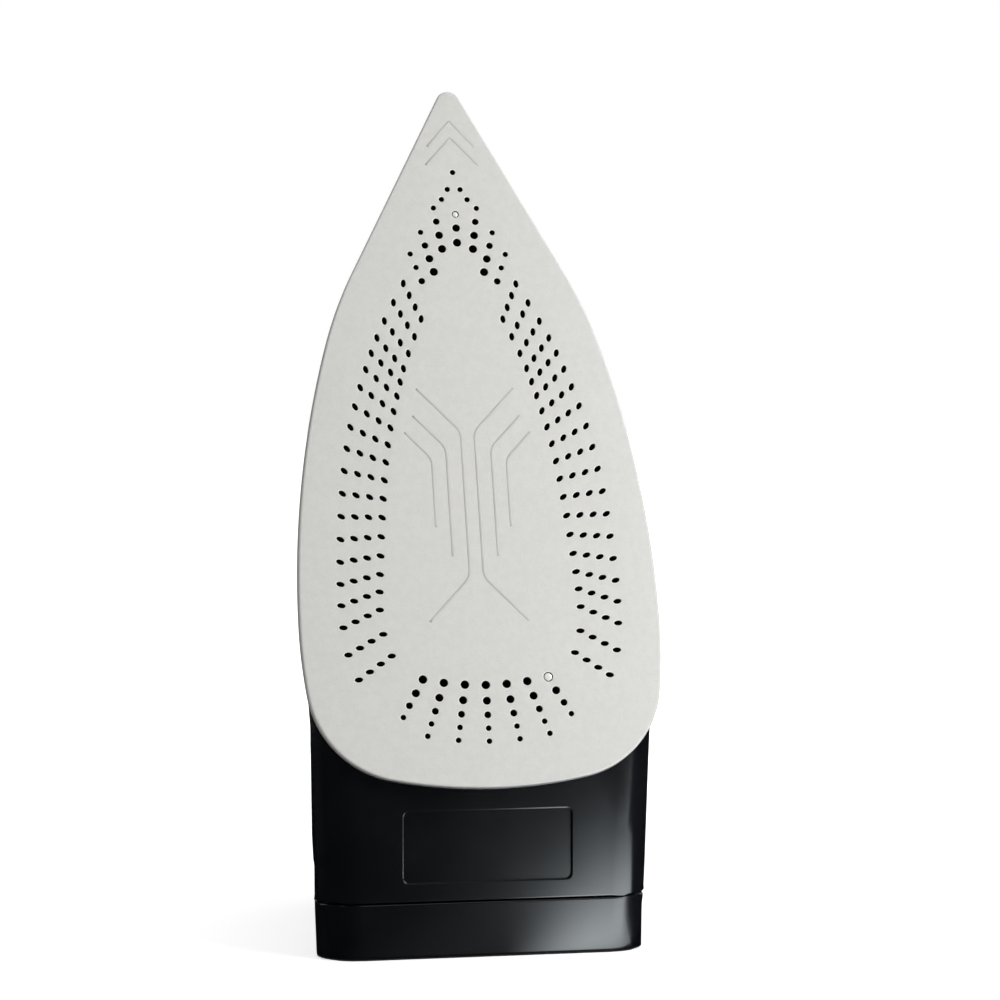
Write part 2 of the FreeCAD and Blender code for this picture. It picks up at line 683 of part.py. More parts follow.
def heated_base():
    low, high = size("sole_thick"), BASE_TOP
    blank = plate("base_blank", sole_outline(size("base_inset")), low, "base_top - sole_thick")
    plan = plate("chamber_plan", sole_outline(CHAMBER_INSET, 4.0), size("chamber_floor"), "20")
    room = common("chamber_room", plan, box("chamber_length", (-60, CHAMBER_START, 0), (60, 205, 40)))
    ribs = [box("chamber_rib_%d" % i, (x0, y, 0), (x1, y + 2.4, 40))
            for i, (x0, x1, y) in enumerate([(-14, 40, 118), (-40, 8, 134), (-6, 40, 149)])]
    bosses = [rod("cover_boss_%d" % i, "4", "30", V(x, y, 4)) for i, (x, y) in enumerate(COVER_SCREWS)]
    chamber = cut("chamber", room, *ribs, group("cover_bosses", bosses))
    islands = [rod("screw_island_%d" % i, "5", "4", V(x, y, low)) for i, (x, y) in enumerate(SOLE_SCREWS)]
    spread = cut("spread", plate("spread_plan", sole_outline(11.0, 3.0), low, "1.5"), group("islands", islands))
    ports = [bore("steam_port_%d" % i, "1.6", "20", V(x, y, 0), sides=6)
             for i, (x, y) in enumerate([(0, 174), (20, 128), (-20, 143), (24, 98), (-24, 98), (0, 98)])]
    bores = [bore("cover_bore_%d" % i, "1.5", "10", V(x, y, 9)) for i, (x, y) in enumerate(COVER_SCREWS)]
    bores += [bore("sole_bore_%d" % i, "1.05", "3", V(x, y, 3)) for i, (x, y) in enumerate(SOLE_SCREWS)]
    bores += [bore("post_bore_%d" % i, "1.4", "8", V(x, y, POST_SCREW_END))
              for i, (x, y) in enumerate(FRAME_POSTS)]
    piece("heated_base", cut("heated_base", blank, element, chamber, spread,
                             group("ports", ports), group("bores", bores)))


def chamber_plan(name, inset, start, bottom, thick):
    """A flat piece with the outline of the steam chamber."""
    return common(name, plate(name + "_plan", sole_outline(inset, 4.0), bottom, thick),
                  box(name + "_length", (-60, start, 0), (60, 230, 60)))


def chamber_cover():
    outside = chamber_plan("seal_outside", CHAMBER_INSET - 4, CHAMBER_START - 4, BASE_TOP, "0.5")
    inside = chamber_plan("seal_inside", CHAMBER_INSET - 1, CHAMBER_START - 1, BASE_TOP - 1, "3")
    piece("chamber_seal", cut("chamber_seal", outside, inside))
    lid = chamber_plan("cover_blank", CHAMBER_INSET - 4, CHAMBER_START - 4, COVER_BOTTOM, "cover_thick")
    holes = [bore("cover_hole_%d" % i, "1.7", "6", V(x, y, 14)) for i, (x, y) in enumerate(COVER_SCREWS)]
    holes += [bore("cover_inlet", "2.9", "6", V(0, VALVE, 14), sides=12),
              bore("burst_inlet", "2", "6", V(-BURST_SIDE, PUMP, 14))]
    piece("chamber_cover", cut("chamber_cover", lid, group("cover_holes", holes)))
    screws = [screw("cover_screw_%d" % i, x, y, 3.0, COVER_TOP, COVER_TOP + 1.8, 1.5, 9.6)
              for i, (x, y) in enumerate(COVER_SCREWS)]
    piece("chamber_screws", group("chamber_screws", screws))


def thermostat():
    bracket = box("thermostat_bracket", (-8, DIAL - 13, BASE_TOP), (8, DIAL + 13, BASE_TOP + 1.2))
    stack = rod("thermostat_stack", "6.5", "9", V(0, DIAL, BASE_TOP + 1), sides=12)
    blades = [box("thermostat_blade_%d" % i, (-3, DIAL - 16, level), (3, DIAL, level + 0.6))
              for i, level in enumerate((18.6, 20.6))]
    bush = rod("thermostat_bush", "4.2", "6", V(0, DIAL, BASE_TOP + 9), sides=12)
    piece("thermostat", fuse("thermostat", bracket, stack, bush, *blades))
    fuse_body = rod("fuse_body", "2.4", "17", V(24, DIAL - 9, BASE_TOP + 2.4), FreeCAD.Rotation(ACROSS, -90))
    strap = box("fuse_strap", (18, DIAL - 3, BASE_TOP), (30, DIAL + 3, BASE_TOP + 1.6))
    piece("thermal_fuse", fuse("thermal_fuse", fuse_body, strap))


def heat_frame():
    """The heat-resistant frame between the hot base and the water tank, on four posts."""
    flat = plate("frame_flat", sole_outline(8.0, 1.5), FRAME_BOTTOM, "%s" % (FRAME_TOP - FRAME_BOTTOM))
    sheet_part = common("frame_sheet", flat, box("frame_length", (-60, -10, 0), (60, FRAME_NOSE, 60)))
    posts = [rod("frame_post_%d" % i, "4", FRAME_TOP - BASE_TOP, V(x, y, BASE_TOP))
             for i, (x, y) in enumerate(FRAME_POSTS)]
    holes = [bore("frame_thermostat_hole", "9", "10", V(0, DIAL, 20), sides=12),
             bore("frame_valve_hole", "4", "10", V(0, VALVE, 20)),
             bore("frame_burst_hole", "2.6", "10", V(-BURST_SIDE, PUMP, 20))]
    holes += [bore("frame_leg_hole_%d" % i, "5", "10", V(x, LEG_AT[1], 20))
              for i, x in enumerate((LEG_AT[0], -LEG_AT[0]))]
    holes += [bore("frame_bore_%d" % i, "1.5", "20", V(x, y, 10)) for i, (x, y) in enumerate(FRAME_POSTS)]
    piece("heat_frame", cut("heat_frame", fuse("frame_body", sheet_part, *posts), group("frame_holes", holes)))
    screws = [screw("frame_screw_%d" % i, x, y, 2.8, FRAME_TOP, FRAME_TOP + 1.6, 1.4, POST_SCREW_END)
              for i, (x, y) in enumerate(FRAME_POSTS)]
    piece("frame_screws", group("frame_screws", screws))


heating_element()
heated_base()
chamber_cover()
thermostat()
heat_frame()


# ---------------------------------------------------------------------------------------------------------
# Housing, rear cover and water tank, all taken from the body form
# ---------------------------------------------------------------------------------------------------------
BLOCK_POST = (0, -16)
CLAMP_POSTS = [(-7, -1), (7, -1)]
CLAMP_LEVEL = 46.0
REAR_SCREWS = [(38, 12.6), (-38, 12.6)]
HANDLE_SCREWS = [(0, 32), (0, 122)]
BOSS = 4.2


def tank_edge(shift):
    """Where the tank meets the housing, seen from the side: along the belt, then up in a curve at the back."""
    bend = (36 + 0.7 * shift, BELT + 3.5 + 0.7 * shift)
    return [(46, BELT + shift), (bend, (30.5 + shift, 40)), (25 + shift, 70)]


def housing_side():
    return path((-90, -10), (240, -10), (240, BELT), *tank_edge(0.0), (25, 130), (-90, 130), (-90, -10))


def tank_side(shift, top):
    edge = tank_edge(shift)
    return path((240, BELT + shift), *edge, (25 + shift, top), (240, top), (240, BELT + shift))


def screw_posts(name, places, radius, low, high):
    """Upright posts in the parked iron, at places given across and in depth."""
    solids = []
    for i, (x, depth) in enumerate(places):
        at = UPRIGHT.multVec(V(x, depth, low - size("heel_drop")))
        solids.append(rod("%s_%d" % (name, i), radius, high - low, at, UPRIGHT.Rotation, 12))
    return solids


def lower_housing():
    posts = [rod("block_post", "4", "32", V(BLOCK_POST[0], BLOCK_POST[1], 0))]
    posts += [rod("clamp_post_%d" % i, "3.4", CLAMP_LEVEL, V(x, y, 0))
              for i, (x, y) in enumerate(CLAMP_POSTS)]
    posts += screw_posts("housing_post", REAR_SCREWS, BOSS, SEAM, SEAM + 16)
    room = cut("housing_room", core, group("housing_posts", posts))
    base_room = plate("base_room", sole_outline(size("base_inset") - 0.7), -2, "20")
    middle = size("heel_drop") - size("recess_place")
    face = rounded(-size("recess_wide") / 2, -middle - size("recess_high") / 2, size("recess_wide") / 2,
                   -middle + size("recess_high") / 2, 2.0)
    label = sketch("recess_outline", face)
    depth = size("heel_face") + size("recess_deep")
    label.Placement = FreeCAD.Placement(UPRIGHT.multVec(V(0, depth, 0)), UPRIGHT.Rotation.multiply(TURNS["XZ"]))
    recess = extrude("heel_recess", label, UPRIGHT.Rotation.multVec(V(0, -1, 0)), "10")
    bores = screw_posts("housing_bore", REAR_SCREWS, 1.5, SEAM - 1, SEAM + 12)
    bores += [bore("clamp_bore_%d" % i, "1.4", "12", V(x, y, CLAMP_LEVEL - 9))
              for i, (x, y) in enumerate(CLAMP_POSTS)]
    shell = common("housing_outside", body, slab("housing_region", housing_side(), "70"))
    piece("lower_housing", cut("lower_housing", shell, heel_zone, room, base_room, recess,
                               group("housing_bores", bores)))


def gland_swing():
    """The room that the cord gland turns in, with a slot that its neck swings along."""
    barrel = cylinder("gland_barrel_room", "gland_radius + 0.4", "21", V(-10.5, 0, 0), SIDEWAYS)
    half, start, reach = 6.6, 7.2, 34.0
    low, high = math.radians(74), math.radians(118)
    fan = path((start, 0), (start + reach * math.cos(low), reach * math.sin(low)),
               (reach * math.cos(high) - start, reach * math.sin(high)), (-start, 0), (start, 0))
    return placed(GLAND, fuse("gland_room", barrel, slab("gland_slot", fan, "%s" % half)))


gland_room = gland_swing()


def rear_cover():
    """The heel end: a shallow cap whose flat side the parked iron stands on."""
    outside = common("rear_outside", fuse("rear_forms", body, handle),
                     parked_box("rear_zone", (-90, -30, 0), (90, 160, SEAM)))
    posts = screw_posts("rear_post", REAR_SCREWS, BOSS, 0, SEAM)
    inside = cut("rear_inside", fuse("rear_cores", core, hollow), group("rear_posts", posts))
    room = common("rear_room", inside, parked_box("rear_depth", (-90, -30, 2.4), (90, 160, 60)))
    bores = group("rear_bores", screw_posts("rear_bore", REAR_SCREWS, 1.8, -1, SEAM + 2))
    sinks = group("rear_sinks", screw_posts("rear_sink", REAR_SCREWS, 3.2, -1, 2.4))
    piece("rear_cover", cut("rear_cover", outside, room, gland_room, bores, sinks))
    screws = []
    for i, (x, depth) in enumerate(REAR_SCREWS):
        section = stepped((0.0, 0.0), (2.9, 1.8), (1.4, 26.0))
        at = UPRIGHT.multVec(V(x, depth, 0.6 - size("heel_drop")))
        screws.append(faceted("rear_screw_%d" % i, section, at, UPRIGHT.Rotation, 12))
    piece("rear_cover_screws", group("rear_cover_screws", screws))


def water_tank():
    """Two welded halves: floor, walls and top, a well for the dial's shaft, a valve boss and screw bosses."""
    outside = common("tank_outside", body, slab("tank_region", tank_side(0.2, 90), "70"))
    columns = [bore("well_column", "well_radius + 2", "40", V(0, DIAL, 24), sides=12),
               rod("valve_column", "6.6", "8", V(0, VALVE, 26), sides=12),
               rod("burst_column", "4", "40", V(-BURST_SIDE, PUMP, 24))]
    columns += [rod("tank_boss_%d" % i, "4", "20", V(x, y, 46)) for i, (x, y) in enumerate(HANDLE_SCREWS)]
    inner = common("tank_room", core, slab("tank_inner_region", tank_side(0.2 + WALL, 90), "70"))
    bores = [bore("well_bore", "well_radius", "60", V(0, DIAL, 20), sides=12),
             bore("valve_bore", "2.9", "16", V(0, VALVE, 20), sides=12),
             bore("valve_seat_bore", "5", "8", V(0, VALVE, 28.4), sides=12),
             bore("needle_bore", "1.9", "40", V(0, VALVE, 40)),
             bore("spring_seat", "3.6", "10", V(0, VALVE, SPRING_SEAT)),
             bore("burst_bore", "2.3", "60", V(-BURST_SIDE, PUMP, 20)),
             bore("suction_bore", "2.3", "20", V(0, PUMP, 48)),
             placed(FILLER, cylinder("neck_bore", "8.8", "40", V(0, 0, -40)))]
    bores += [bore("tank_screw_bore_%d" % i, "1.5", "14", V(x, y, 48), sides=12)
              for i, (x, y) in enumerate(HANDLE_SCREWS)]
    whole = cut("tank_whole", outside, cut("tank_void", inner, group("tank_columns", columns)), *bores)
    weld = 44.0
    piece("tank_lower", common("tank_lower", whole, box("below_weld", (-80, -20, 0), (80, 260, weld))))
    piece("tank_upper", common("tank_upper", whole, box("above_weld", (-80, -20, weld + 0.05), (80, 260, 120))))


lower_housing()
rear_cover()
water_tank()


# ---------------------------------------------------------------------------------------------------------
# Handle shells, console and what they hold
# ---------------------------------------------------------------------------------------------------------
BEZEL_RADIUS = 30.6
DIAL_NOTCHES = 30
LEVER_PLACE = FreeCAD.Placement(V(-size("lever_travel") / 2, 180, 108.3), FreeCAD.Rotation(ACROSS, -52.3))
LID_HALF, LID_LOW, LID_HIGH, LID_THICK = 10.0, -14.0, 13.0, 2.4
PIN_AT = (-15.8, -1.7)
BUTTON = (2.0, 144.5, 18.0, 165.5)
LAMP_AT = (0, 24.4)
SADDLE = DECK + size("saddle")
NECK_RADIUS = 8.6
SPIGOT_LEVEL = -5.4
NEEDLE_COLLAR = 64.2
BLOCK_TOP = 79.0


def pad_region(name):
    return box(name, (-12.5, 30, 125), (12.5, 108, 160))


def soft_grip(name):
    """The soft inlay on top of the grip: a skin of the handle form."""
    skin = cut(name + "_skin", handle, handle_form(name + "_under", 1.6))
    return common(name, skin, pad_region(name + "_region"))


def sunk_screw(name, grow, end, place):
    """A countersunk screw whose head is flush with the saddle, or the hole that it goes in."""
    stem = 1.45 + grow
    corners = [(0, end - SADDLE), (stem, end - SADDLE), (stem, -1.8), (3.2 + grow, 0), (0, 0)]
    return faceted(name, corners, place, sides=12)


def handle_shells():
    grip = soft_grip("grip_inlay")
    piece("grip_pad", group("grip_pad", [grip]))
    above = slab("above_parting", parting_side(0.15), "70")
    below = slab("below_parting", parting_side(0.0), "70")
    bezel_room = cylinder("bezel_room", "%s" % (BEZEL_RADIUS + 0.2), "10", V(0, DIAL, DECK - 0.5))
    rear_lamp = cylinder("lamp_hole", "3.55", "30", V(LAMP_AT[0], LAMP_AT[1], 128))
    screw_holes = [sunk_screw("saddle_bore_%d" % i, 0.2, 50, V(x, y, SADDLE))
                   for i, (x, y) in enumerate(HANDLE_SCREWS)]
    recess = rounded(-LID_HALF - 0.5, LID_LOW - 0.8, LID_HALF + 0.5, LID_HIGH + 0.5, 5.4)
    lid_seat = placed(FILLER, fuse("lid_seat", plate("lid_recess", recess, -LID_THICK - 0.5, "20"),
                                   box("knuckle_recess", (-8.4, -19.2, -4.6), (8.4, -13, 12)),
                                   cylinder("pin_room", "1.15", "20.4", V(-10.2, *PIN_AT), SIDEWAYS)))
    neck_hole = placed(FILLER, cylinder("neck_hole", "%s" % (NECK_RADIUS + 0.1), "30", V(0, 0, -25)))
    nozzle_hole = placed(NOZZLE, fuse("nozzle_hole", bore("nozzle_bore", "3.7", "30", V(0, 0, -20), sides=12),
                                      cylinder("nozzle_seat", "7.6", "20", V(0, 0, -1.8))))
    lower = cut("handle_below", handle, below, body, hollow)
    piece("handle_lower", cut("handle_lower", lower, heel_zone, gland_room, bezel_room, lid_seat, neck_hole,
                              nozzle_hole, group("saddle_bores", screw_holes)))
    grip_half = box("grip_half", (-60, -80, 60), (60, CONSOLE_START - 0.15, 170))
    top = common("handle_above", handle, above, grip_half)
    piece("handle_top", cut("handle_top", top, hollow, heel_zone, gland_room, grip, rear_lamp))
    front_half = box("front_half", (-60, CONSOLE_START + 0.15, 60), (60, 240, 170))
    skin = cut("console_skin", common("console_outside", handle, above, front_half), hollow)
    holes = [plate("button_hole_%d" % side, mirrored_rounded(BUTTON, side, 0.4, 4.4), 100, "50")
             for side in (1, -1)]
    travel = size("lever_travel") / 2
    lever_slot = plate("lever_slot", rectangle(-3.2, -2.4, 2 * travel + 3.2, 2.4), -12, "24")
    piece("console", cut("console", skin, group("button_holes", holes), placed(LEVER_PLACE, lever_slot)))


def mirrored_rounded(bounds, side, grow, radius):
    x0, y0, x1, y1 = bounds
    low, high = sorted((side * (x0 - grow), side * (x1 + grow)))
    return rounded(low, y0 - grow, high, y1 + grow, radius)


def dial_pieces():
    """The dial turns on its shaft inside a bezel. The dial is hollow below, and notched round its rim."""
    bottom, r, stem = SADDLE + 0.4, size("dial_radius"), size("shaft_radius")
    top = bottom + size("dial_high")
    rim = []
    for number in range(2 * DIAL_NOTCHES):
        angle, reach = math.pi * number / DIAL_NOTCHES, r - (number % 2) * 1.2
        rim.append((reach * math.cos(angle), DIAL + reach * math.sin(angle)))
    knob = plate("dial_blank", path(rim[-1], *rim), bottom, "dial_high")
    under = ring("dial_under", 7, r - 3, bottom - 1, top - 3, V(0, DIAL, 0), 16)
    socket = cylinder("dial_socket", "shaft_radius", "dial_high - 2.5", V(0, DIAL, bottom))
    piece("temperature_dial", cut("temperature_dial", knob, under, socket))
    shaft = [rod("shaft_tip", "2.4", "2.6", V(0, DIAL, 31.6)),
             cylinder("shaft_stem", "%s - 0.02" % stem, "%s" % (top - 2.6 - 34), V(0, DIAL, 34))]
    piece("dial_shaft", fuse("dial_shaft", *shaft))
    r = BEZEL_RADIUS
    section = [(6.0, DECK), (r, DECK), (r, SADDLE + 1.2), (r - 2.2, SADDLE + 1.6), (r - 2.6, SADDLE - 1.2),
               (6.0, SADDLE - 1.2)]
    piece("dial_bezel", faceted("dial_bezel", section, V(0, DIAL, 0), sides=48))


def filler():
    lid = plate("lid_plate", rounded(-LID_HALF, LID_LOW, LID_HALF, LID_HIGH, 5.0), -LID_THICK, "%s" % LID_THICK)
    arm = box("lid_arm", (-5.5, PIN_AT[0], -LID_THICK), (5.5, LID_LOW + 3, -0.2))
    knuckle = cylinder("lid_knuckle", "2.1", "11", V(-5.5, *PIN_AT), SIDEWAYS)
    plug = cylinder("lid_plug", "6.1", "3.2", V(0, 0, -LID_THICK - 3))
    pin_hole = cylinder("lid_bore", "1.15", "20", V(-10, *PIN_AT), SIDEWAYS)
    whole = fuse("lid_body", lid, arm, knuckle, plug)
    piece("filler_lid", placed(FILLER, cut("filler_lid", whole, pin_hole)))
    pin = cylinder("filler_pin", "1.1", "20", V(-10, *PIN_AT), SIDEWAYS)
    piece("filler_pin", placed(FILLER, pin))
    neck = ring("filler_neck", 6.8, NECK_RADIUS, -23.0, -LID_THICK - 0.6, sides=24)
    piece("filler_neck", placed(FILLER, neck))


def spray_nozzle():
    piece("nozzle_ring", placed(NOZZLE, ring("nozzle_ring", 4.4, 7.5, -1.7, 0.7, sides=24)))
    corners = [(0.0, -7.4), (3.5, -7.4), (3.5, -1.6), (4.1, -1.6), (4.1, 1.2), (2.6, 2.4), (0.7, 2.4),
               (0.7, -4), (0.0, -4)]
    spigot = rod("nozzle_spigot", "1.6", "9", V(0, 0, SPIGOT_LEVEL), FreeCAD.Rotation(ACROSS, 90), 6)
    stem = faceted("nozzle_body", corners, sides=16)
    piece("spray_nozzle", placed(NOZZLE, fuse("spray_nozzle", stem, spigot)))


def steam_valve():
    seat = [(1.2, 18.2), (2.8, 18.2), (2.8, 28.4), (4.9, 28.4), (4.9, 31), (2.6, 31), (1.2, 29)]
    piece("valve_seat", faceted("valve_seat", seat, V(0, VALVE, 0), sides=12))
    r = size("needle_radius")
    collar = [(r, NEEDLE_COLLAR), (3.3, NEEDLE_COLLAR), (3.3, NEEDLE_COLLAR + 1.2), (r, NEEDLE_COLLAR + 1.2)]
    needle = [(0, 29.6), (0.5, 29.6), (r, 32)] + collar + [(r, 97.6), (0.6, 98.4), (0, 98.4)]
    piece("needle_rod", faceted("needle_rod", needle, V(0, VALVE, 0)))
    piece("needle_spring", ring("needle_spring", 2.2, 3.1, SPRING_SEAT, NEEDLE_COLLAR, V(0, VALVE, 0)))


def steam_lever():
    """The lever slides across the console, and the ramp under it lets the needle rise."""
    tab = plate("lever_tab", rounded(-6.5, -5, 6.5, 5, 2.5), 0.5, "3.6")
    shank = box("lever_shank", (-2.8, -1.9, -9.6), (2.8, 1.9, 1.5))
    tilted = placed(LEVER_PLACE, fuse("lever_top", tab, shank))
    half, low, lift = 8.8, 98.8, size("needle_lift")
    ramp = path((-half, low + 4.2), (half, low + 4.2), (half, low - lift * (half - 7) / 14),
                (-half, low + lift * (half + 7) / 14), (-half, low + 4.2))
    carriage = extrude("lever_carriage", sketch("lever_ramp", ramp, "XZ", -172.6), V(0, 1, 0), "6.4")
    carriage.Placement.Base = V(LEVER_PLACE.Base.x, 0, 0)
    piece("steam_lever", fuse("steam_lever", tilted, carriage))


def pump(name, side):
    """Button, piston, spring and cylinder of one of the two pumps."""
    x0, y0, x1, y1 = BUTTON
    cap = plate(name + "_cap", mirrored_rounded(BUTTON, side, 0.0, 4.0), BUTTON_UNDER, "40")
    skirt = (x0, y0, x1, y1 - 2)
    flange = plate(name + "_flange", mirrored_rounded(skirt, side, 0.7, 3.0), BUTTON_UNDER, "2")
    above = path((130, 100), (180, 100), (180, 114.5), ((155, 133), (130, 143)), (130, 100))
    crown = slab(name + "_crown", above, "40")
    piece(name + "_button", common(name + "_button", fuse(name + "_solid", cap, flange), crown))
    x = side * PUMP_SIDE
    piston = stepped((0, 92), (4.7, 95.5), (1.8, BUTTON_UNDER))
    piece(name + "_piston", faceted(name + "_piston", piston, V(x, PUMP, 0), sides=12))
    piece(name + "_spring", ring(name + "_spring", 2.8, 4.2, PUMP_TOP, BUTTON_UNDER, V(x, PUMP, 0), 12))
    r, inner = size("pump_radius"), size("bore_radius")
    wall = [(1.0, BLOCK_TOP - 5), (2.4, BLOCK_TOP - 5), (2.4, BLOCK_TOP), (r, BLOCK_TOP), (r, PUMP_TOP),
            (2.2, PUMP_TOP), (2.2, PUMP_TOP - 2), (inner, PUMP_TOP - 2), (inner, 82), (1.0, 82)]
    piece(name + "_pump", faceted(name + "_pump", wall, V(x, PUMP, 0), sides=12))


def plumbing():
    """The block that the pumps stand on, its tubes down to the tank and the chamber, and the spray hose."""
    block = cut("block_seated", plate("block_blank", rectangle(-15, PUMP - 4, 15, PUMP + 5.5), 46, "33"), body)
    tube_end = 66.0
    bores = [bore("suction_seat", "2.15", "30", V(0, PUMP, tube_end - 30)),
             bore("burst_seat", "1.95", "30", V(-BURST_SIDE, PUMP, tube_end - 30))]
    bores += [bore("pump_seat_%d" % i, "2.45", "5.2", V(side * PUMP_SIDE, PUMP, BLOCK_TOP - 5.2), sides=12)
              for i, side in enumerate((1, -1))]
    piece("valve_block", cut("valve_block", block, group("block_bores", bores)))
    piece("suction_tube", ring("suction_tube", 1.2, 2.1, 31, tube_end, V(0, PUMP, 0)))
    piece("burst_tube", ring("burst_tube", 1.2, 1.9, COVER_TOP, tube_end, V(-BURST_SIDE, PUMP, 0)))
    below_neck = [FILLER.multVec(V(*at)) for at in [(11.2, 0, -16), (7.8, 7.8, -10), (0, 11.6, SPIGOT_LEVEL)]]
    piece("spray_hose", hose("spray_hose", 1.6, (10.8, PUMP + 5.5, 68), (10.8, 173, 68), *below_neck,
                             NOZZLE.multVec(V(0, -9, SPIGOT_LEVEL))))


def cord_gland():
    barrel = cylinder("gland_barrel", "gland_radius", "20", V(-10, 0, 0), SIDEWAYS)
    neck = faceted("gland_neck", stepped((0, 0), (6.2, 13), (5.6, 19)), sides=24)
    cord_hole = cylinder("gland_bore", "cord_radius", "60", V(0, 0, -30))
    piece("cord_gland", placed(GLAND, cut("cord_gland", fuse("gland_body", barrel, neck), cord_hole)))


def electrics():
    x, y = BLOCK_POST
    block = box("block", (-15, y - 5.5, 32), (15, y + 5.5, 43))
    grooves = [box("block_groove_%d" % i, (gx - 0.8, y - 6, 39), (gx + 0.8, y + 6, 44))
               for i, gx in enumerate((-5, 5))]
    piece("terminal_block", cut("terminal_block", block, group("block_grooves", grooves)))
    screws = [rod("terminal_screw_%d" % i, "2.2", "1.6", V(gx, y, 43)) for i, gx in enumerate((-10, 0, 10))]
    piece("terminal_screws", group("terminal_screws", screws))
    clamp_y = CLAMP_POSTS[0][1]
    strap = box("clamp_strap", (-10.5, clamp_y - 4, CLAMP_LEVEL), (10.5, clamp_y + 4, CLAMP_LEVEL + 3))
    holes = [bore("clamp_hole_%d" % i, "1.6", "5", V(x, y, CLAMP_LEVEL - 1))
             for i, (x, y) in enumerate(CLAMP_POSTS)]
    piece("cord_clamp", cut("cord_clamp", strap, group("clamp_holes", holes)))
    heads = [screw("clamp_screw_%d" % i, x, y, 2.6, CLAMP_LEVEL + 3, CLAMP_LEVEL + 4.6, 1.35, CLAMP_LEVEL - 8)
             for i, (x, y) in enumerate(CLAMP_POSTS)]
    piece("clamp_screws", group("clamp_screws", heads))
    wires = [hose("lead_wire_%d" % i, 1.1, (side * 13, BLOCK_POST[1] + 5.5, 36), (side * 13, 3, 36),
                  (side * LEG_AT[0], LEG_AT[1], 44), (side * LEG_AT[0], LEG_AT[1], 34))
             for i, side in enumerate((1, -1))]
    piece("lead_wires", group("lead_wires", wires))
    lamp = V(LAMP_AT[0], LAMP_AT[1], 0)
    lens = [(2.45, 133), (3.5, 133), (3.5, 142.4), (2.4, 143.6), (0, 143.6), (0, 139), (2.45, 139)]
    piece("pilot_lens", faceted("pilot_lens", lens, lamp, sides=16))
    bulb = [(0, 128), (2.4, 128), (2.4, 136.8), (1.4, 138.4), (0, 138.4)]
    piece("pilot_lamp", faceted("pilot_lamp", bulb, lamp, sides=16))
    sunk = [sunk_screw("handle_screw_%d" % i, 0.0, 49, V(hx, hy, SADDLE))
            for i, (hx, hy) in enumerate(HANDLE_SCREWS)]
    piece("handle_screws", group("handle_screws", sunk))


handle_shells()
dial_pieces()
filler()
spray_nozzle()
steam_valve()
steam_lever()
pump("spray", 1)
pump("burst", -1)
plumbing()
cord_gland()
electrics()


# ---------------------------------------------------------------------------------------------------------
# Checks, stance and export
# ---------------------------------------------------------------------------------------------------------
doc.recompute()
for thing in doc.Objects:
    if "Invalid" in thing.State or "Error" in thing.State:
        raise RuntimeError("%s failed to build" % thing.Name)

stance = FreeCAD.Placement(V(0, 0, size("heel_drop")), STANCE_TURN)
for thing in PIECES:
    thing.Placement = stance.multiply(thing.Placement)
depths = [(thing.Shape.optimalBoundingBox().YMin, thing.Shape.optimalBoundingBox().YMax) for thing in PIECES]
middle = (min(d[0] for d in depths) + max(d[1] for d in depths)) / 2
for thing in PIECES:
    thing.Placement.Base.y -= middle
print("middle of the depth %.3f" % middle)

os.makedirs("parts", exist_ok=True)
for thing in PIECES:
    shape = thing.Shape
    if shape.isNull() or not shape.isValid() or not shape.Solids:
        raise RuntimeError("%s has no valid solid" % thing.Label)
    shape.exportStep("parts/%s.step" % thing.Label)
    print("%-18s %d solids %8.0f mm3" % (thing.Label, len(shape.Solids), shape.Volume))
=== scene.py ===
# %% [markdown]
# # A steam iron, parked on its heel
#
# The iron stands upright on its heel with the soleplate towards us, leaning back by 18 degrees, as it is
# put down between two shirts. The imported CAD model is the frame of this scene: it fixes where every piece
# is, and this file gives the pieces their edges, holes and finishes.

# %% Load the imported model
import json
import math

import bmesh
import bpy
from bmesh.types import BMEdge, BMVert
from mathutils import Matrix, Vector


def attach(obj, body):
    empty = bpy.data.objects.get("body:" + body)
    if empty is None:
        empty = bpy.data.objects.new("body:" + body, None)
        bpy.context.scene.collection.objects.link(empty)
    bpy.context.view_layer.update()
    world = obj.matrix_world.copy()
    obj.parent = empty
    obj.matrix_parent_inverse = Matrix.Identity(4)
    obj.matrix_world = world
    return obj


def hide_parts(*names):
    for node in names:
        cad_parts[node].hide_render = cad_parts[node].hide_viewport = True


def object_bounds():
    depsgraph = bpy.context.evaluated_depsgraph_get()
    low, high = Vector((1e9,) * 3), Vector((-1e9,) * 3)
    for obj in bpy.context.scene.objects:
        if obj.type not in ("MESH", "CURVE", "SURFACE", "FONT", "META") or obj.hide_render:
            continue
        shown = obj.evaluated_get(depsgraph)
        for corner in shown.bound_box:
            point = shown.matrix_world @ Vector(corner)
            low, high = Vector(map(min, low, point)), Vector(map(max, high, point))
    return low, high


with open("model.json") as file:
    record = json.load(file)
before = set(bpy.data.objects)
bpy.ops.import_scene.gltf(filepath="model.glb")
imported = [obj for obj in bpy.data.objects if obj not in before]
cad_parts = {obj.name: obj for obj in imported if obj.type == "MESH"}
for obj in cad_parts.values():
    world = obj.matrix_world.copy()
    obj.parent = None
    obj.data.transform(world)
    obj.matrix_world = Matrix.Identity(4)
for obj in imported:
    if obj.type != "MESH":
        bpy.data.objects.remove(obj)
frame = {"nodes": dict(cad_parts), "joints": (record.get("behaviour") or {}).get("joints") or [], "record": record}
cad_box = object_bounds()
nodes, record, scene = frame["nodes"], frame["record"], bpy.context.scene
MM = 0.001
slot_of = {part["node"]: part["material_slot"] for part in record["subparts"]}
body_of = {node: body for body, members in record["behaviour"]["bodies"].items() for node in members}

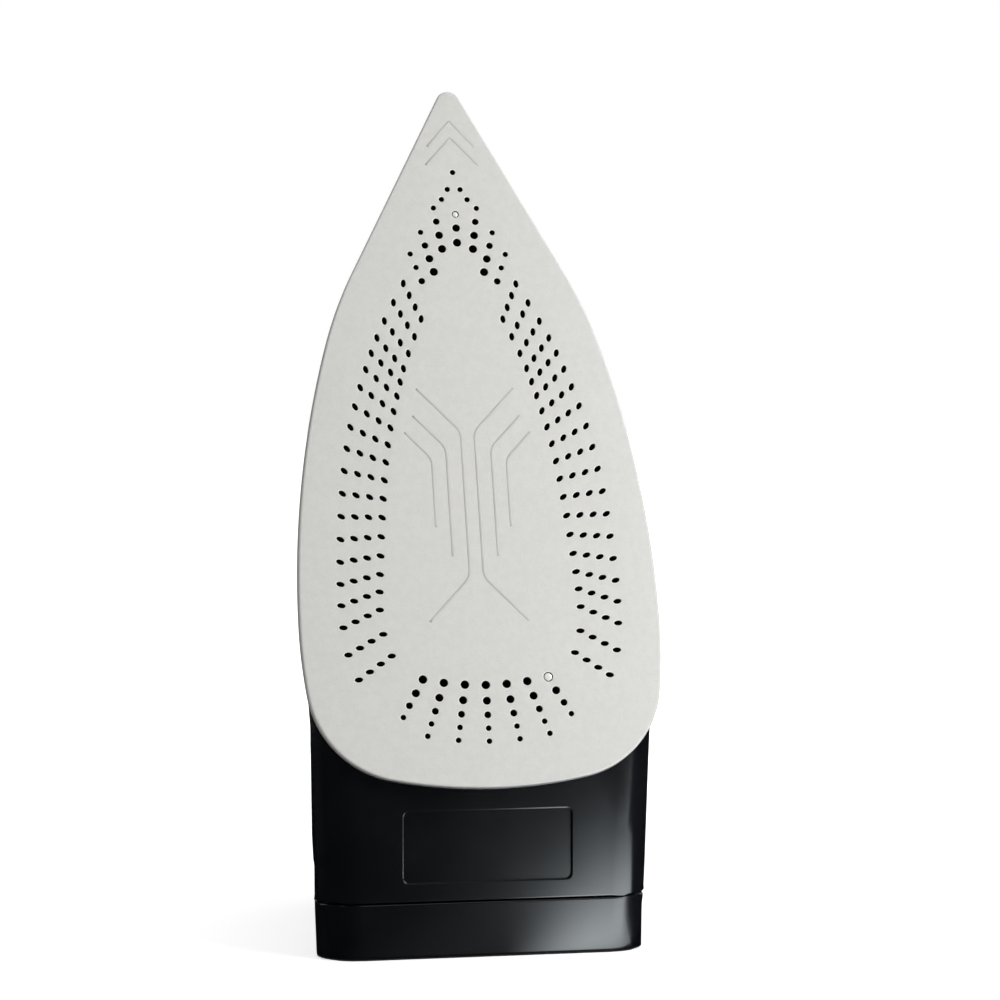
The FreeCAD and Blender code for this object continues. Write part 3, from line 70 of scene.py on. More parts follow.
# %% [markdown]
# ## Where things are
#
# An iron is drawn lying on its sole: across, along to the nose, and up to the handle. The model stands on
# its heel, so one matrix takes drawing millimetres to the model's metres. It is read from the dial's
# joint, whose axis is square to the sole and whose place on the drawing is known. From here on, names in
# capitals are fixed values, in millimetres and degrees unless their cell says otherwise.

# %% The stance matrix
joints = {joint["name"]: joint for joint in frame["joints"]}
DIAL_ALONG, DIAL_UP = 70, 60
away = Vector(joints["dial_turn"]["axis"]).normalized()
across = Vector((-1, 0, 0))
along = away.cross(across)
heel_edge = Vector(joints["dial_turn"]["pos_m"]) - (DIAL_ALONG * along + DIAL_UP * away) * MM
axes = Matrix((across, along, away)).transposed().to_4x4()
STANCE = Matrix.Translation(heel_edge) @ axes @ Matrix.Scale(MM, 4)
print("the sole leans back by %.1f degrees" % math.degrees(math.acos(along.z)))


def spot(x, y, z=0.0):
    """A point of the drawing, in millimetres, as a point of the model."""
    return STANCE @ Vector((x, y, z))


# %% [markdown]
# ## Camera
#
# A long lens from a little over a metre away keeps the outline almost free of perspective. The camera
# stands a little to the left and just above the middle of the sole, looks down by less than three degrees
# and has no roll. Its aim is a point on the sole's middle line, moved sideways a little to set the iron in
# the frame. The distance and the shift are in metres.

# %% Camera
LENS, FILM = 125.45, 36.0
VIEW_SIDE, VIEW_RISE, VIEW_AWAY, VIEW_SHIFT = 12.08, 2.68, 1.149, 0.00861
VIEW_POINT = 96.15
yaw, pitch = math.radians(VIEW_SIDE), math.radians(VIEW_RISE)
look = Vector((math.sin(yaw) * math.cos(pitch), math.cos(yaw) * math.cos(pitch), -math.sin(pitch)))
right = look.cross(Vector((0, 0, 1))).normalized()
camera_data = bpy.data.cameras.new("camera")
camera_data.lens, camera_data.sensor_width = LENS, FILM
camera = bpy.data.objects.new("camera", camera_data)
camera.location = spot(0, VIEW_POINT) + right * VIEW_SHIFT - look * VIEW_AWAY
camera.rotation_euler = look.to_track_quat("-Z", "Y").to_euler()
scene.collection.objects.link(camera)
scene.camera = camera
print("camera at", [round(value, 3) for value in camera.location])

# %% [markdown]
# ## Shader arithmetic
#
# Finishes are small sums: this much noise, less that mask. Written as links, the sum is hard to read, so
# `Value` wraps a socket and lets Python's own signs add the Math nodes. `Shading` adds any other node
# from its type, its settings and its inputs, and `Finish` is the shading of one material.


# %% A socket that can be added and multiplied
class Value:
    def __init__(self, shading, socket):
        self.shading, self.socket = shading, socket

    def maths(self, operation, *inputs):
        return self.shading.node("ShaderNodeMath", {"operation": operation}, inputs)

    def __add__(self, other):
        return self.maths("ADD", self, other)

    def __sub__(self, other):
        return self.maths("SUBTRACT", self, other)

    def __rsub__(self, other):
        return self.maths("SUBTRACT", other, self)

    def __mul__(self, other):
        return self.maths("MULTIPLY", self, other)

    __radd__, __rmul__ = __add__, __mul__

    def ramp(self, low, high):
        """0 below low, 1 above high, and a smooth slope between them."""
        settings = {"interpolation_type": "SMOOTHSTEP"}
        inputs = {"Value": self, "From Min": low, "From Max": high}
        return self.shading.node("ShaderNodeMapRange", settings, inputs)


# %% A shading tree with a node maker
class Shading:
    def __init__(self, owner, shader):
        owner.use_nodes = True
        self.tree = owner.node_tree
        self.shader = self.tree.nodes[shader]

    def join(self, value, target):
        if isinstance(value, Value):
            self.tree.links.new(value.socket, target)
        else:
            target.default_value = value

    def set(self, socket, value):
        self.join(value, self.shader.inputs[socket])

    def node(self, kind, settings=(), inputs=(), output=0):
        """Adds a node: its settings first, then its sockets by name or in order."""
        made = self.tree.nodes.new(kind)
        for name, value in dict(settings).items():
            setattr(made, name, value)
        for socket, value in inputs.items() if isinstance(inputs, dict) else enumerate(inputs):
            self.join(value, made.inputs[socket])
        return Value(self, made.outputs[output])

    def ray(self, *kinds):
        """1 where a ray is of one of these kinds, and otherwise 0."""
        seen = [self.node("ShaderNodeLightPath", output="Is %s Ray" % kind) for kind in kinds]
        return seen[0].maths("MINIMUM", sum(seen), 1.0)


# %% A material
class Finish(Shading):
    def __init__(self, name, colour, roughness=0.5, **sockets):
        self.material = bpy.data.materials.new(name)
        super().__init__(self.material, "Principled BSDF")
        self.colour = (*colour, 1.0)
        self.set("Base Color", self.colour)
        self.set("Roughness", roughness)
        for socket, value in sockets.items():
            self.set(socket.replace("_", " "), value)

    def place(self):
        """Where a point lies on the resting iron, in metres."""
        return self.node("ShaderNodeTexCoord", output="Object")

    def noise(self, lump, detail=2.0, stretch=(1, 1, 1)):
        """Smooth noise from 0 to 1 whose lumps are about this many millimetres across."""
        where = self.node("ShaderNodeMapping", {}, {"Vector": self.place(), "Scale": stretch})
        inputs = {"Vector": where, "Scale": 1 / (lump * MM), "Detail": detail, "Roughness": 0.5}
        return self.node("ShaderNodeTexNoise", {}, inputs)

    def level(self, direction, origin):
        """How many millimetres a point lies beyond the origin, in a direction."""
        where = self.node("ShaderNodeVectorMath", {"operation": "SUBTRACT"}, (self.place(), origin))
        inputs = (where, direction)
        return self.node("ShaderNodeVectorMath", {"operation": "DOT_PRODUCT"}, inputs, "Value") * (1 / MM)

    def blend(self, factor, first, second):
        """A colour between two: the first where the factor is 0."""
        ends = [value if isinstance(value, Value) else (*value, 1.0) for value in (first, second)]
        return self.node("ShaderNodeMix", {"data_type": "RGBA"}, {0: factor, 6: ends[0], 7: ends[1]}, 2)

    def bump(self, height, depth):
        """Height from 0 to 1 becomes a relief this many millimetres deep."""
        self.set("Normal", self.node("ShaderNodeBump", {}, {"Height": height, "Distance": depth * MM}))


finishes = {}
print("shader arithmetic ready")

# %% [markdown]
# ## Moulded plastics and rubbers
#
# Mouldings look alike from far off and differ close up: a spark-eroded mould leaves a fine grain, a
# polished one leaves soft flow marks, and handling leaves faint smears that are a little rougher and
# lighter. One recipe covers them, from the base colour, the roughness, and the size and depth of the
# grain in millimetres.

# %% Moulded finishes
SMEAR_LUMP, SMEAR_ROUGH, SMEAR_LIGHT, SMEAR_LIFT = 22, 0.08, 1.35, 0.002
SMEAR_RANGE, SMEAR_SHARE, GRAIN_ROUGH = (0.35, 0.8), 0.6, 0.06


def tint(colour, factor, lift=0.0):
    """A colour made lighter or darker."""
    return [min(1, value * factor + lift) for value in colour]


def moulded(slot, colour, roughness, grain, depth, **sockets):
    finish = Finish(slot, colour, roughness, **sockets)
    smear, fine = finish.noise(SMEAR_LUMP, 3), finish.noise(grain, 3)
    least = roughness - (SMEAR_ROUGH + GRAIN_ROUGH) / 2
    finish.set("Roughness", smear * SMEAR_ROUGH + fine * GRAIN_ROUGH + least)
    lighter = tint(colour, SMEAR_LIGHT, SMEAR_LIFT)
    finish.set("Base Color", finish.blend(smear.ramp(*SMEAR_RANGE) * SMEAR_SHARE, colour, lighter))
    finish.bump(fine, depth)
    finishes[slot] = finish
    return finish


moulded("black_plastic", (0.003, 0.0036, 0.005), 0.24, 0.5, 0.002)
moulded("handle_plastic", (0.008, 0.0083, 0.0095), 0.42, 0.45, 0.016, Specular_IOR_Level=0.4)
moulded("console_plastic", (0.055, 0.057, 0.062), 0.3, 0.6, 0.004)
moulded("button_plastic", (0.21, 0.21, 0.215), 0.34, 0.6, 0.004)
moulded("dial_plastic", (0.02, 0.02, 0.022), 0.3, 0.6, 0.004)
moulded("grip_rubber", (0.028, 0.028, 0.03), 0.72, 0.5, 0.03, Specular_IOR_Level=0.3)
moulded("gland_rubber", (0.012, 0.012, 0.013), 0.62, 0.6, 0.02, Specular_IOR_Level=0.35)
moulded("heat_plastic", (0.03, 0.026, 0.022), 0.7, 0.8, 0.03)
moulded("seal_rubber", (0.30, 0.055, 0.03), 0.6, 0.8, 0.02)
moulded("natural_plastic", (0.62, 0.6, 0.52), 0.42, 0.8, 0.01, Subsurface_Weight=0.1)
moulded("terminal_white", (0.68, 0.66, 0.6), 0.3, 0.8, 0.008)
moulded("wire_sleeve", (0.42, 0.40, 0.34), 0.85, 0.35, 0.12)
moulded("hose_rubber", (0.42, 0.42, 0.38), 0.45, 0.8, 0.01, Subsurface_Weight=0.15)
moulded("tank_plastic", (0.045, 0.055, 0.07), 0.14, 1.2, 0.002, Alpha=0.62, Coat_Weight=0.3)
moulded("lens_plastic", (0.62, 0.07, 0.015), 0.12, 1.2, 0.002, Alpha=0.8, Coat_Weight=0.5)
moulded("lamp_glass", (0.9, 0.62, 0.4), 0.08, 1.2, 0.002, Alpha=0.6)
print(len(finishes), "moulded finishes")

# %% [markdown]
# ## Metals
#
# Bare metal is one colour, and all of its character is in how rough it is and in which direction. Drawn
# and rolled parts get noise stretched along their length, castings get round lumps, and plating is almost
# a mirror. The base is painted nearly black next to the sole, a painted shade that makes the steam holes
# look deep.

# %% Metal finishes
CLOUD_LUMP, CLOUD_ROUGH, CLOUD_DARK = 12, 0.08, 0.8
# Painted shade: the base's colour next to the sole, and the depths over which it fades out.
SHADED_BASE, BASE_SHADE_DEPTHS = (0.01, 0.01, 0.01), (4, 9)


def metal(slot, colour, roughness, lump, depth, stretch=(1, 1, 1), spread=0.15):
    finish = Finish(slot, colour, roughness, Metallic=1.0)
    marks, cloud = finish.noise(lump, 3, stretch), finish.noise(CLOUD_LUMP)
    least = roughness - (spread + CLOUD_ROUGH) / 2
    finish.set("Roughness", marks * spread + cloud * CLOUD_ROUGH + least)
    finish.set("Base Color", finish.blend(cloud, tint(colour, CLOUD_DARK), colour))
    finish.bump(marks, depth)
    finishes[slot] = finish
    return finish


metal("steel", (0.56, 0.55, 0.53), 0.34, 0.4, 0.004, (1, 1, 0.2))
metal("spring_steel", (0.5, 0.5, 0.5), 0.3, 0.4, 0.004)
metal("element_steel", (0.36, 0.33, 0.31), 0.42, 0.5, 0.006)
metal("brass", (0.66, 0.48, 0.2), 0.28, 0.4, 0.004)
metal("trim_chrome", (0.72, 0.72, 0.73), 0.1, 1.0, 0.001, spread=0.04)
casting = metal("cast_aluminium", (0.5, 0.5, 0.5), 0.55, 0.9, 0.05)
# Painted shade: the base is nearly black within a few millimetres of the sole, where the steam holes show it.
base_unshaded = casting.level(away, heel_edge).ramp(*BASE_SHADE_DEPTHS)
casting.set("Base Color", casting.blend(base_unshaded, SHADED_BASE, casting.colour[:3]))
print("metals ready")

# %% [markdown]
# ## The sole's coating
#
# The sole is coated with a pale, warm grey ceramic glaze. It is matte and has a very fine speckle, with
# softer mottling under it. Painted shade darkens it round the edge of the sole, by a mask on the depth
# behind its face.

# %% Coating
COATING = (0.677, 0.675, 0.648)
MOTTLE_DARK, MOTTLE_LIGHT, SPECK_DARK, EDGE_SHADE = 0.98, 1.02, 0.86, 0.62
SPECK_LUMP, MOTTLE_LUMP, EDGE_SHADE_DEPTHS = 0.35, 2.6, (0.12, 0.5)
SPECK_RANGE, MOTTLE_RANGE = (0.56, 0.74), (0.3, 0.7)
SPECK_ROUGH, MOTTLE_ROUGH, LEAST_ROUGH = 0.1, 0.12, 0.42
coating = Finish("sole_coating", COATING, 0.5, Specular_IOR_Level=0.35)
speckle, mottle = coating.noise(SPECK_LUMP, 3), coating.noise(MOTTLE_LUMP, 3)
darker, lighter = tint(COATING, MOTTLE_DARK), tint(COATING, MOTTLE_LIGHT)
mottled = coating.blend(mottle.ramp(*MOTTLE_RANGE), darker, lighter)
speckled = coating.blend(speckle.ramp(*SPECK_RANGE), mottled, tint(COATING, SPECK_DARK))
# Painted shade: the coating is darkened round the edge of the sole, behind its face.
behind = coating.level(away, heel_edge).ramp(*EDGE_SHADE_DEPTHS)
coating.set("Base Color", coating.blend(behind, speckled, tint(COATING, EDGE_SHADE)))
coating.set("Roughness", mottle * MOTTLE_ROUGH + speckle * SPECK_ROUGH + LEAST_ROUGH)
coating.bump(speckle * 0.6 + mottle * 0.4, 0.012)
finishes["sole_coating"] = coating
print("coating ready")

# %% [markdown]
# The rims of the steam holes are paler, a painted highlight, and their walls are nearly black, painted
# shade. Both are plain materials of their own, which the soleplate's mesh takes as its second and third.

# %% Rims and walls of the steam holes
RIM_HIGHLIGHT = 1.2
# Painted shade: the walls of the steam holes are nearly black.
scale = Finish("hole_shade", (0.012, 0.012, 0.011), 0.85, Specular_IOR_Level=0.2)
scale.bump(scale.noise(0.5, 3), 0.02)
# Painted highlight: the rims of the steam holes are paler than the coating.
painted_rim = Finish("coating_rim_highlight", tint(COATING, RIM_HIGHLIGHT), 0.4, Specular_IOR_Level=0.4)
painted_rim.bump(painted_rim.noise(SPECK_LUMP, 3), 0.006)
print("rims and walls ready")

# %% [markdown]
# ## Every carried-over piece gets its finish
#
# Pieces whose CAD shape is already right, mostly the works inside, keep it and only change their
# material. The record says which material slot each belongs to.

# %% Finishes for the CAD nodes
for name, node in nodes.items():
    node.data.materials.clear()
    node.data.materials.append(finishes[slot_of[name]].material)
print("finished", len(nodes), "nodes")

# %% [markdown]
# ## Making a piece
#
# Each new piece is a bmesh in model metres, some of them drawn in millimetres first. `settle` turns it
# into an object that rides on its body, takes the finish of its material slot unless it is given another,
# and hides the CAD nodes that it stands for. A Weighted Normal modifier keeps wide faces flat and leaves
# the shine to the narrow rounded edges.


# %% Turn a mesh into an object
def only(kind, items):
    """The vertices or the edges among mixed geometry."""
    return [item for item in items if isinstance(item, kind)]


def object_from(name, shape, finish):
    mesh = bpy.data.meshes.new(name)
    shape.to_mesh(mesh)
    shape.free()
    mesh.materials.append(finish.material)
    made = bpy.data.objects.new(name, mesh)
    scene.collection.objects.link(made)
    return made


def settle(name, shape, slot, body, *replaced, finish=None):
    piece = object_from(name, shape, finish or finishes[slot])
    piece.data.shade_smooth()
    weighted = piece.modifiers.new("weighted", "WEIGHTED_NORMAL")
    weighted.keep_sharp = True
    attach(piece, body)
    if replaced:
        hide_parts(*replaced)
    return piece


# %% [markdown]
# ## Round corners for the heel
#
# The heel of an iron is moulded with large round corners, so that it doesn't catch on cloth, while its
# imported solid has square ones. Upright planes cut both corners into strips. Two functions say how wide
# the heel is at a depth and a height, before and after, and each point moves sideways by its share of the
# difference. Nothing moves near the middle, and the change fades out above the heel and behind it. The
# strips are narrowest where the corner turns most.

# %% Round the corners of the heel
FRONT = cad_box[0][1]
HEEL_FACE, HEEL_ROUND, HEEL_DEEP, HEEL_INNER = 6.8, 13.5, 38.0, 29.0
HEEL_CUTS = [7.3, 8.2, 9.5, 11.2, 13.4, 16, 19, 22, 25, 29, 33, 38, 45, 52]
CUT_BELOW, FADE_HEIGHTS, FADE_DEPTHS = 90, (86, 64), (62, HEEL_DEEP)
PACKED_FACE, PACKED_SIDE, PACKED_TAPER = (52.3, 0.053), (51.7, 0.0235), 0.072
ROUND_SIDE, ROUND_TAPER = (54.5, 0.036), 0.22


def depth_of(vertex):
    """How far a vertex lies behind the foremost point of the iron, in millimetres."""
    return (vertex.co.y - FRONT) / MM


def share(value, none, full):
    """How far a value has come from `none`, where the share is 0, to `full`, where it is 1."""
    return min(1.0, max(0.0, (value - none) / (full - none)))


def half_width(side, height):
    """Half a width, from what it is at the floor and what each millimetre of height adds."""
    return side[0] + side[1] * height


def packed_half(depth, height):
    """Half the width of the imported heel, whose corners are square."""
    near_face = half_width(PACKED_FACE, height) - PACKED_TAPER * (depth - HEEL_FACE)
    return max(near_face, half_width(PACKED_SIDE, height))


def rounded_half(depth, height):
    """The same with a round corner, behind which the side draws in."""
    corner_end = HEEL_FACE + HEEL_ROUND
    turned = min(HEEL_ROUND, max(0.0, corner_end - depth))
    corner = HEEL_ROUND - math.sqrt(HEEL_ROUND ** 2 - turned ** 2)
    return half_width(ROUND_SIDE, height) - corner - ROUND_TAPER * max(0.0, depth - corner_end)


def cut_strips(shape, depth):
    faces = [face for face in shape.faces if max(abs(vertex.co.x) for vertex in face.verts) > HEEL_INNER * MM
             and min(vertex.co.z for vertex in face.verts) < CUT_BELOW * MM]
    parts = dict.fromkeys(item for face in faces for item in (face, *face.edges, *face.verts))
    plane = Vector((0, FRONT + depth * MM, 0))
    bmesh.ops.bisect_plane(shape, geom=list(parts), dist=1e-6, plane_co=plane, plane_no=(0, 1, 0))


def round_heel(shape):
    for depth in HEEL_CUTS:
        cut_strips(shape, depth)
    for vertex in shape.verts:
        x, depth, height = abs(vertex.co.x) / MM, depth_of(vertex), max(0.0, vertex.co.z / MM)
        packed = packed_half(min(depth, HEEL_DEEP), height)
        rounded = rounded_half(min(depth, HEEL_DEEP), height)
        part = share(height, *FADE_HEIGHTS) * share(depth, *FADE_DEPTHS)
        wider = (rounded - packed) / (packed - HEEL_INNER) * max(0.0, x - HEEL_INNER) * part
        vertex.co.x += wider * MM * math.copysign(1, vertex.co.x)


print("the heel is %.1f mm wide at its foot" % (2 * rounded_half(HEEL_FACE + HEEL_ROUND, 0)))

# %% [markdown]
# ## Softened mouldings
#
# A mould never leaves a knife edge: each corner of a plastic part has a radius of a few tenths of a
# millimetre, and that radius is what catches the light. `soften` copies a CAD node, merges its loose
# triangles, rounds the heel's corners, joins the flat faces, and bevels each edge that turns sharply. The
# shallow recess in the heel's face has finer rims than the rest.

# %% Soften a CAD node
MERGE, FLAT_ANGLE, SHARP_ANGLE = 0.002, 0.4, 32
RECESS_HALF, RECESS_BACK, RECESS_LOW, RECESS_HIGH, RECESS_RIM = 29, 9, 22, 50, 0.3


def sharp_edges(shape, degrees):
    limit = math.radians(degrees)
    return [edge for edge in shape.edges if edge.is_manifold and edge.calc_face_angle(0) > limit]


def bevel(shape, edges, size, segments=2, slide=False):
    """Round edges, and return the faces that this adds."""
    return bmesh.ops.bevel(shape, geom=edges, offset=size, segments=segments, profile=0.5, affect="EDGES",
                           clamp_overlap=False, loop_slide=slide, material=-1)["faces"]


def in_recess(edge):
    return all(abs(vertex.co.x) < RECESS_HALF * MM and depth_of(vertex) < RECESS_BACK
               and RECESS_LOW * MM < vertex.co.z < RECESS_HIGH * MM for vertex in edge.verts)


def soften(node, rim):
    shape = bmesh.new()
    shape.from_mesh(nodes[node].data)
    bmesh.ops.remove_doubles(shape, verts=shape.verts, dist=MERGE * MM)
    round_heel(shape)
    flat = math.radians(FLAT_ANGLE)
    bmesh.ops.dissolve_limit(shape, angle_limit=flat, verts=shape.verts, edges=shape.edges)
    edges = sharp_edges(shape, SHARP_ANGLE)
    recess = [edge for edge in edges if in_recess(edge)]
    others = [edge for edge in edges if not in_recess(edge)]
    for kind, size in ((recess, RECESS_RIM), (others, rim)):
        bevel(shape, [edge for edge in kind if edge.is_valid], size * MM, slide=True)
    settle(node + "_dressed", shape, slot_of[node], body_of[node], node)
    print("%-18s %5d edges rounded to %.2f mm" % (node, len(edges), rim))


# %% Shells
RIMS = {"lower_housing": 0.6, "rear_cover": 0.6, "tank_upper": 0.4, "tank_lower": 0.4, "handle_lower": 0.9,
        "handle_top": 1.0, "console": 0.8, "cord_gland": 0.5, "filler_lid": 0.5, "steam_lever": 0.4,
        "spray_button": 0.6, "burst_button": 0.6, "dial_bezel": 0.4, "temperature_dial": 0.3,
        "spray_nozzle": 0.2, "nozzle_ring": 0.25}
for node, rim in RIMS.items():
    soften(node, rim)

# %% [markdown]
# ## The soleplate
#
# The outline is a chain of arcs, each given by its radius and how far it turns, and tangent to the next.
# So one vertex is spun from arc to arc and leaves the edge behind it. Mirrored and filled together with
# the outlines of all the steam holes, it becomes a face that only needs its thickness and rounded rims.

# %% The outline of the sole
SOLE_THICK, NOSE_TIP, ARC_STEP, TOUCH = 3.2, 4.0, 1.6, 0.01
SOLE_ARCS = [(162, 11.5), (33, 70.4), (173, 8.1), (335, 16.5), (144, 11.0)]


def spin_on(shape, vertex, centre, degrees, radius):
    """Carry the last vertex of a chain round an arc, and return the vertex that it ends on."""
    steps = max(2, round(math.radians(abs(degrees)) * radius / ARC_STEP))
    result = bmesh.ops.spin(shape, geom=[vertex], cent=centre, axis=(0, 0, 1), angle=math.radians(degrees),
                            steps=steps, use_merge=False)
    return only(BMVert, result["geom_last"])[0]


def half_sole(shape):
    """One half: the arcs from the heel, a straight stretch to the nose, and half of its round tip."""
    heading, vertex = 0.0, shape.verts.new((0, 0, 0))
    for radius, degrees in SOLE_ARCS:
        inward = Vector((-math.sin(heading), math.cos(heading), 0))
        vertex = spin_on(shape, vertex, vertex.co + inward * radius, degrees, radius)
        heading += math.radians(degrees)
    inward = Vector((-math.sin(heading), math.cos(heading), 0))
    rise = (NOSE_TIP + vertex.co.x * inward.x) / inward.y
    tip = Vector((0, vertex.co.y + rise, 0))
    joint = shape.verts.new(tip - NOSE_TIP * inward)
    shape.edges.new((vertex, joint))
    spin_on(shape, joint, tip, 180 - math.degrees(heading), NOSE_TIP)


sole = bmesh.new()
half_sole(sole)
bmesh.ops.mirror(sole, geom=sole.verts[:] + sole.edges[:], axis="X", merge_dist=TOUCH)
print("outline %.1f by %.1f mm" % (2 * max(v.co.x for v in sole.verts), max(v.co.y for v in sole.verts)))

# %% [markdown]
# ## Steam holes
#
# Oval slots stand in rows of four that follow the side of the sole and turn on the way. For a few rows the
# middle and the turn are given, and a natural spline through them gives those of the others. Round
# holes fill the nose, and fan out at the heel, each row a little smaller than the last.

# %% Slots along both sides
SLOT_LONG, SLOT_WIDE, SLOT_PITCH, SLOT_TWIST, SLOT_ROWS, ROW_SLOTS = 2.8, 1.7, 4.52, 29, 20, 4
ROW_GUIDE = {0: (16.6, 165.2, 67), 3: (25.1, 147.0, 52), 4: (26.9, 142.0, 47.5), 8: (33.8, 118.4, 26.6),
             12: (37.8, 90.8, 2), 16: (39.7, 63.3, -19), 17: (39.7, 56.6, -25), 18: (38.8, 48.0, -29.5),
             19: (36.1, 40.2, -34.5)}


def natural_curve(guide):
    """A smooth curve through numbered points: returns a function from number to place."""
    at, points = list(guide), [Vector(point) for point in guide.values()]
    count = len(at)
    slopes = [0 * points[0]] * count
    upper, pull = [0.0] * count, [0 * points[0]] * count
    for i in range(1, count - 1):
        before, after = at[i] - at[i - 1], at[i + 1] - at[i]
        bend = 6 * ((points[i + 1] - points[i]) / after - (points[i] - points[i - 1]) / before)
        pivot = 2 * (before + after) - before * upper[i - 1]
        upper[i], pull[i] = after / pivot, (bend - before * pull[i - 1]) / pivot
    for i in range(count - 2, 0, -1):
        slopes[i] = pull[i] - upper[i] * slopes[i + 1]

    def place(number):
        i = max(k for k in range(count - 1) if at[k] <= number)
        span = at[i + 1] - at[i]
        a, b = (at[i + 1] - number) / span, (number - at[i]) / span
        bow = ((a ** 3 - a) * slopes[i] + (b ** 3 - b) * slopes[i + 1]) * span ** 2 / 6
        return a * points[i] + b * points[i + 1] + bow

    return place


def slots():
    """Place, turn and half sizes of each slot."""
    middle_of = natural_curve(ROW_GUIDE)
    for row in range(SLOT_ROWS):
        middle_x, middle_y, degrees = middle_of(row)
        turn = math.radians(degrees)
        for number in range(ROW_SLOTS):
            reach = (number - (ROW_SLOTS - 1) / 2) * SLOT_PITCH
            x, y = middle_x + reach * math.cos(turn), middle_y + reach * math.sin(turn)
            for side in (1, -1):
                yield side * x, y, side * (turn + math.radians(SLOT_TWIST)), SLOT_LONG / 2, SLOT_WIDE / 2


print(len(list(slots())), "slots")

# %% Round holes at the nose and the heel
HOLE_RADII = [1.42, 1.34, 1.14, 0.93, 0.93]
NOSE_ROWS = [((7.4, 198.3), (-0.7, -4.85), 4), ((12.3, 189.6), (-1.23, -4.67), 4),
             ((16.3, 181.9), (-1.7, -4.8), 3), ((2.2, 205.0), (2.2, -3.6), 2)]
NOSE_MIDDLE = [(211.1, 3), (191.2, 1), (186.0, 0)]
FAN_BOW, FAN_MIDDLE, FAN_STEP, FAN_LEAN = 96.0, 129.8, 4.15, 10
FAN_REACHES, FAN_COLUMNS = (0, 5.2, 9.9, 14.3, 18.6), 3


def nose_holes():
    """Rows that run back from the nose, each with its start, its step and its count: the holes grow."""
    for start, step, count in NOSE_ROWS:
        for number in range(count):
            smaller = 3 - number if count == 4 else 3 - number // 2
            yield start[0] + number * step[0], start[1] + number * step[1], HOLE_RADII[smaller]


def fan_holes(column):
    """One column of the fan, counted from the middle: the last is a hole shorter."""
    swing, lean = math.radians(FAN_STEP * column), math.radians(FAN_LEAN * column)
    x, y = FAN_BOW * math.sin(swing), FAN_MIDDLE - FAN_BOW * math.cos(swing)
    holes = [(x + reach * math.sin(lean), y - reach * math.cos(lean), radius)
             for radius, reach in zip(HOLE_RADII, FAN_REACHES)]
    return holes[:-1] if column == FAN_COLUMNS else holes


def round_holes():
    """A screw takes the place of the first hole of the fan's last column on one side."""
    last = fan_holes(FAN_COLUMNS)
    both = [*nose_holes(), *fan_holes(1), *fan_holes(2), *last[1:]]
    middle = [(0, y, HOLE_RADII[smaller]) for y, smaller in NOSE_MIDDLE]
    return both + [(-x, y, radius) for x, y, radius in both] + middle + fan_holes(0) + last[:1]


print(len(round_holes()), "round holes")

# %% [markdown]
# Each hole starts as `create_circle`, squeezed to an oval for the slots. The two screws that hold the
# plate get plain holes too. `triangle_fill` then fills between the outline and every hole in one go, and
# the region is extruded to the plate's thickness.

# %% Fill and thicken
SOLE_SCREWS = {(0, 196.1): 1.2, (-21, 36.1): 1.6}
SLOT_SIDES, HOLE_SIDES, SCREW_SIDES = 14, 16, 28


def hole_outline(shape, x, y, turn, half_long, half_wide, sides):
    size = Matrix.Diagonal((half_long, half_wide, 1, 1))
    place = Matrix.Translation((x, y, 0)) @ Matrix.Rotation(turn, 4, "Z") @ size
    bmesh.ops.create_circle(shape, segments=sides, radius=1, matrix=place)


for x, y, turn, half_long, half_wide in slots():
    hole_outline(sole, x, y, turn, half_long, half_wide, SLOT_SIDES)
for x, y, radius in round_holes():
    hole_outline(sole, x, y, 0, radius, radius, HOLE_SIDES)
for (x, y), radius in SOLE_SCREWS.items():
    hole_outline(sole, x, y, 0, radius, radius, SCREW_SIDES)
bmesh.ops.triangle_fill(sole, edges=sole.edges[:], use_beauty=True)
print("filled with", len(sole.faces), "triangles")
raised = bmesh.ops.extrude_face_region(sole, geom=sole.faces[:], use_keep_orig=True)
bmesh.ops.translate(sole, vec=(0, 0, SOLE_THICK), verts=only(BMVert, raised["geom"]))
bmesh.ops.recalc_face_normals(sole, faces=sole.faces[:])

# %% [markdown]
# The edges of the plate's face form one loop round the sole and one round each hole. Walking from the
# vertex that lies nearest to the heel finds the first, and what is left are the holes. Their walls take
# the painted shade and their rims the painted highlight, and the sole itself gets a wider rim.

# %% Round the rims
SOLE_RIM, HOLE_RIM, RIM_ANGLE = 0.8, 0.28, 60
WALLS, RIM_BANDS = 1, 2


def reached_from(start, edges):
    """The vertices that can be reached from one of them along the edges."""
    linked = {}
    for edge in edges:
        for vertex in edge.verts:
            linked.setdefault(vertex, []).append(edge.other_vert(vertex))
    reached, waiting = set(), [start]
    while waiting:
        vertex = waiting.pop()
        if vertex not in reached:
            reached.add(vertex)
            waiting += linked[vertex]
    return reached


def on_face(edge):
    return all(abs(vertex.co.z) < TOUCH for vertex in edge.verts)


rims = [edge for edge in sharp_edges(sole, RIM_ANGLE) if on_face(edge)]
nearest_heel = min((vertex for edge in rims for vertex in edge.verts), key=lambda vertex: vertex.co.y)
outer = reached_from(nearest_heel, rims)
outer_edges = [edge for edge in rims if edge.verts[0] in outer]
hole_edges = [edge for edge in rims if edge.verts[0] not in outer]
print(len(outer_edges), "edges round the sole and", len(hole_edges), "round its holes")
